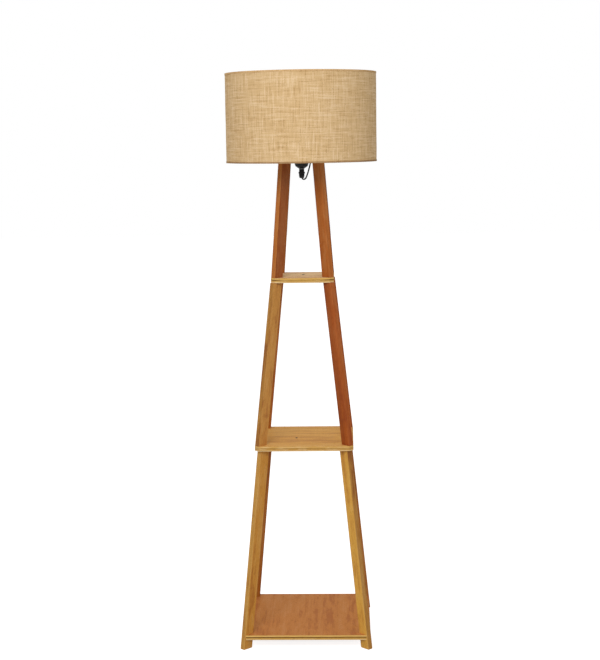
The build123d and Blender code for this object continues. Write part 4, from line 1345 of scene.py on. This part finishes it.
@dataclass
class DrumShade(Assembly):
    """Jute drum on a liner, two rim wires and a three-armed spider. Millimetres.

    The slub_lengths are in samples of the cloth's grid, and the seam_angle in degrees.
    """

    body: ClassVar[str] = "shade"
    radius: float = 180.0
    bottom: float = 1162.1
    top: float = 1371.9
    cloth: float = 0.95
    columns: int = 560
    rows: int = 112
    inner_rows: int = 10
    slub_height: float = 0.32
    slub_seed: int = 11
    slub_lengths: tuple[float, float] = (7.0, 5.0)
    tape: float = 0.6
    hem_height: float = 4.0
    hem_reach: float = 175.6
    tape_gap: float = 0.05
    liner_outer: float = 178.95
    liner_inner: float = 178.5
    liner_rows: int = 12
    wire: float = 1.6
    wire_reach: float = 176.9
    seam_foot: float = 1165.7
    seam_head: float = 1368.3
    seam_angle: float = 3.82

    @staticmethod
    def smooth_along(values: np.ndarray, axis: int, length: float) -> np.ndarray:
        """Blurs an array along one axis, by a Gaussian in its spectrum.

        Args:
            values: The array.
            axis: The axis to blur along.
            length: Width of the blur, in samples.

        Returns:
            The blurred array.
        """
        turns = np.fft.rfftfreq(values.shape[axis])
        gain = np.exp(-2 * (math.pi * turns * length) ** 2)
        shape = [1, 1]
        shape[axis] = -1
        spectrum = np.fft.rfft(values, axis=axis) * gain.reshape(shape)
        return np.fft.irfft(spectrum, values.shape[axis], axis=axis)

    def slubs(self) -> np.ndarray:
        """Thick places of the yarns: the peaks of noise blurred along each yarn.

        Returns:
            Array of (columns, rows), from 0 to 1.
        """
        random = np.random.default_rng(self.slub_seed)
        total = np.zeros((self.columns, self.rows))
        for axis, length in enumerate(self.slub_lengths):
            noise = self.smooth_along(random.standard_normal(total.shape), axis, length)
            noise /= noise.std()
            total = np.maximum(total, np.clip((noise - 0.7) / 2.2, 0, 1))
        return total

    def skin(self) -> Piece:
        """The cloth: an outer face raised by the slubs, joined to a smooth inner face.

        The slubs fade out near both edges.

        Returns:
            The piece, with the slubs as an attribute of its points.
        """
        outer = wall(self.radius, self.bottom, self.top, self.rows)
        inner = wall(self.radius - self.cloth, self.top, self.bottom, self.inner_rows)
        height = outer[:, 1]
        from_edge = np.minimum(height - self.bottom, self.top - height)
        slubs = self.slubs()
        faded = slubs * np.clip(from_edge / 6.0 - 0.5, 0, 1)
        values = np.hstack([faded, np.zeros((self.columns, self.inner_rows))])
        made = turned("shade_cloth", np.vstack([outer, inner]), self.columns, sharp=50.0,
                      ripple=lambda angle, profile: values * self.slub_height)
        attribute = made.data.attributes.new("slub", "FLOAT", "POINT")
        attribute.data.foreach_set("value", values.astype(np.float32).ravel())
        return made

    def hem(self, name: str, edge: float, way: float, material: Material, node: str) -> Piece:
        """Hem tape folded round the cloth's edge.

        Args:
            name: The piece's name.
            edge: Height of the tape's outermost line.
            way: 1 for a lower edge and -1 for an upper one.
            material: Its material.
            node: The CAD node that it stands for.

        Returns:
            The piece.
        """
        side, face = self.radius + self.tape, self.radius + self.tape_gap
        fold, end = edge + way * self.tape, edge + way * self.hem_height
        outline = [(self.hem_reach, edge), (side, edge), (side, end), (face, end), (face, fold),
                   (self.hem_reach, fold)]
        made = turned(name, eased(outline, 0.22, 2), 360)
        return settle(made, self.body, "jute_cloth", material, node)

    def seam(self, material: Material) -> Piece:
        """Seam tape: a strip of the cylinder's surface at the back, with its thickness.

        Args:
            material: Its material.

        Returns:
            The piece.
        """
        angle = np.linspace(math.pi - math.radians(self.seam_angle), math.pi, 9)
        heights = np.linspace(self.seam_foot, self.seam_head, 40)
        outer = np.full((len(angle), len(heights)), self.radius + 0.36)
        inner = np.full_like(outer, self.radius + 0.02)
        reach = np.vstack([outer, inner[::-1]])
        turn = np.concatenate([angle, angle[::-1]])
        points = np.stack([reach * np.sin(turn)[:, None], -reach * np.cos(turn)[:, None],
                           np.broadcast_to(heights, reach.shape)], -1) * MM
        run = np.concatenate([turn, turn[:1]]) * self.radius
        flat = np.stack(np.meshgrid(run, np.append(heights, heights[-1]), indexing="ij"), -1) * MM
        made = shell_mesh("back_seam", points, False, flat)
        return settle(made, self.body, "jute_cloth", material, "shade_seam")

    def build(self) -> None:
        """Makes the cloth, liner, hems, seam and wires."""
        jute, tape = JUTE.dress("jute cloth"), HEM_TAPE.dress("jute hem tape")
        skin = settle(self.skin(), self.body, "jute_cloth", jute, "shade_fabric")
        # The lower hem takes darker tape: painted shade along the bottom rim.
        shaded = PAINTED_SHADE_TAPE.dress("glued hem tape")
        hems = [self.hem("lower_hem", self.bottom - self.tape, 1.0, shaded, "shade_hem_bottom"),
                self.hem("upper_hem", self.top + self.tape, -1.0, tape, "shade_hem_top")]
        seam = self.seam(tape)
        low, high = self.bottom + 0.1, self.top - 0.1
        liner = np.vstack([wall(self.liner_outer, low, high, self.liner_rows),
                           wall(self.liner_inner, high, low, self.liner_rows)])
        self.fit(turned("shade_lining", liner, 280), "white_liner", "shade_liner")
        for name, height, node in (
                ("lower_rim_wire", self.bottom + self.wire, "shade_wire_bottom"),
                ("upper_rim_wire", self.top - self.wire, "shade_wire_top")):
            section = ring_section(self.wire_reach, height, self.wire)
            self.fit(turned(name, section, 240), "white_wire", node)
        self.dress("white_wire", "shade_spider")


@dataclass
class Lead(Assembly):
    """Black lead in two lengths: lampholder to switch, and switch through the coil to the plug.

    The coil's turns are counted in one layer. The lead comes in and goes out at the radius of the
    mouth, and bends to the turns over a share of a turn. Its points are the spline's.
    """

    radius: float = 0.0017
    coil_centre: tuple[float, float] = (-0.045, 0.040)
    coil_outer: float = 0.0255
    coil_inner: float = 0.0153
    coil_pitch: float = 0.0034
    coil_mouth: float = 0.0289
    coil_share: float = 0.17
    coil_turns: int = 4
    coil_start: float = 175.0
    coil_end: float = 285.0
    coil_lift: float = 0.0023
    coil_points: int = 120
    upper_route: ClassVar[tuple[Place, ...]] = (
        # From inside the cap, out of the grip and up in a loop.
        (0.0, 0.0, 1.1515), (0.0001, 0.0, 1.1355),
        (0.0002, 0.0, 1.1202), (0.009, -0.0005, 1.1198), (0.0146, -0.0006, 1.1342),
        (0.0192, 0.0004, 1.15), (0.0224, 0.004, 1.165), (0.0216, 0.0115, 1.172),
        (0.019, 0.021, 1.174), (0.018, 0.0315, 1.173), (0.0215, 0.041, 1.1675),
        # Down the back right legs, round the edges of the shelves.
        (0.0285, 0.0465, 1.156), (0.034, 0.0484, 1.138), (0.0375, 0.0507, 1.108),
        (0.0412, 0.0542, 1.058), (0.0458, 0.0587, 0.99), (0.0501, 0.0632, 0.94),
        (0.0526, 0.0715, 0.916), (0.0545, 0.0805, 0.895), (0.056, 0.0815, 0.87),
        (0.0581, 0.0772, 0.848), (0.0609, 0.074, 0.826), (0.0643, 0.0774, 0.788),
        (0.0697, 0.0827, 0.725), (0.0764, 0.0894, 0.657), (0.0837, 0.0968, 0.592),
        (0.0896, 0.1028, 0.544), (0.0916, 0.1134, 0.519), (0.0925, 0.1236, 0.498),
        (0.0932, 0.1246, 0.47), (0.0931, 0.1177, 0.448), (0.0949, 0.1085, 0.424),
        (0.0985, 0.1116, 0.381), (0.1044, 0.1174, 0.312), (0.1112, 0.1243, 0.241),
        (0.1189, 0.132, 0.172), (0.1259, 0.1389, 0.11), (0.1304, 0.1434, 0.072),
        (0.1326, 0.153, 0.054), (0.1344, 0.1616, 0.04), (0.1355, 0.1626, 0.027),
        # Under the base shelf to the switch.
        (0.1353, 0.1621, 0.0165), (0.1324, 0.1582, 0.0076), (0.1266, 0.1506, 0.0023),
        (0.118, 0.14, 0.0017), (0.1085, 0.1275, 0.0017), (0.098, 0.1173, 0.0021),
        (0.086, 0.1124, 0.0056), (0.0736, 0.112, 0.0075), (0.0623, 0.1121, 0.0075),
        (0.051, 0.112, 0.0075),
    )
    switch_to_coil: ClassVar[tuple[Place, ...]] = (
        (-0.011, 0.112, 0.0075), (-0.0223, 0.1121, 0.0075), (-0.0336, 0.112, 0.0075),
        (-0.0458, 0.1104, 0.0054), (-0.0568, 0.1052, 0.0024), (-0.0652, 0.0963, 0.0017),
        (-0.0703, 0.0846, 0.0017), (-0.0727, 0.0718, 0.0019), (-0.0736, 0.0576, 0.0022),
        (-0.0738, 0.0425, 0.0023),
    )
    coil_to_plug: ClassVar[tuple[Place, ...]] = (
        (-0.0375, 0.0121, 0.0057), (-0.0264, 0.0147, 0.005), (-0.0146, 0.0163, 0.0027),
        (-0.0026, 0.0168, 0.0017), (0.0096, 0.0176, 0.0022), (0.0211, 0.0198, 0.0046),
        (0.0325, 0.0219, 0.0066), (0.0438, 0.0225, 0.007), (0.055, 0.0226, 0.007),
        (0.066, 0.0225, 0.007),
    )

    def coil(self) -> np.ndarray:
        """Two layers of flat turns, inward below and outward above.

        The radius is a staircase of the number of turns, whose steps are smooth and one diameter
        high, and the lead climbs to the upper layer at the end of the innermost turn. The control
        points stand a little outside the turns, because the curve runs inside them.

        Returns:
            Array of (points, 3).
        """
        whole = 2 * self.coil_turns + (self.coil_end - self.coil_start) / 360
        turn = np.linspace(0, whole, self.coil_points + 2)[1:-1]
        number = np.minimum(np.floor(turn), 2 * self.coil_turns)
        part = turn - number

        def ramp(low: float, high: float) -> np.ndarray:
            """Smooth step of the part of a turn."""
            share = np.clip((part - low) / (high - low), 0, 1)
            return share * share * (3 - 2 * share)

        last = self.coil_turns - 1
        inward_steps = number + np.where(number < last, ramp(0.8, 1.0), 0)
        outward_steps = np.minimum(number - self.coil_turns + ramp(0.6, 0.8), last)
        radius = np.where(turn < self.coil_turns, self.coil_outer - self.coil_pitch * inward_steps,
                          self.coil_inner + self.coil_pitch * outward_steps)
        layer = np.where(number < last, 0.0, np.where(number == last, ramp(0.8, 1.0), 1.0))
        entry = sum(np.clip(1 - gone / self.coil_share, 0, 1) ** 1.5
                    for gone in (turn, whole - turn))
        radius = radius + (self.coil_mouth - self.coil_outer) * entry
        radius = radius / math.cos(math.pi * whole / (self.coil_points + 1))
        angle = np.radians(self.coil_start) + 2 * math.pi * turn
        return np.stack([self.coil_centre[0] + radius * np.cos(angle),
                         self.coil_centre[1] + radius * np.sin(angle),
                         self.coil_lift + self.coil_pitch * layer], -1)

    def strand(self, name: str, route: np.ndarray) -> Piece:
        """Round lead on one smooth NURBS spline.

        Args:
            name: The piece's name.
            route: Array of (points, 3), the spline's control points.

        Returns:
            The piece.
        """
        data = bpy.data.curves.new(name, "CURVE")
        data.dimensions = "3D"
        spline = data.splines.new("NURBS")
        spline.points.add(len(route) - 1)
        weighted = np.hstack([route, np.ones((len(route), 1))])
        spline.points.foreach_set("co", weighted.astype(np.float32).ravel())
        spline.order_u = 3
        spline.use_endpoint_u = True
        spline.resolution_u = data.resolution_u = 8
        data.bevel_depth = self.radius
        data.bevel_resolution = 5
        data.use_fill_caps = True
        return show(name, data)

    def build(self) -> None:
        upper = self.fit(self.strand("lead_to_switch", np.array(self.upper_route)), "cord_black",
                         "upper_lead")
        route = np.vstack([self.switch_to_coil, self.coil(), self.coil_to_plug])
        lower = self.fit(self.strand("lead_to_plug", route), "cord_black", "floor_lead",
                         "lead_coil", "plug_lead")
        self.dress("black_plastic", "switch_base", "switch_cover", "switch_rocker", "plug_body",
                   "cable_clips", "coil_tie")
        self.dress("cord_black", "switch_reliefs")
        self.dress("zinc_steel", "switch_screws", "clip_nails")
        self.dress("pin_metal", "plug_pins")


def main() -> None:
    """Builds the studio and every sub-assembly, in order."""
    logging.basicConfig(level=logging.INFO, format="%(name)s: %(message)s")
    shop = Shop()
    for part in (Studio(), Lead(shop), Stand(shop), Lampholder(shop), Bulb(shop), DrumShade(shop)):
        log.info("building %s", type(part).__name__)
        part.build()


if __name__ == "__main__":
    main()
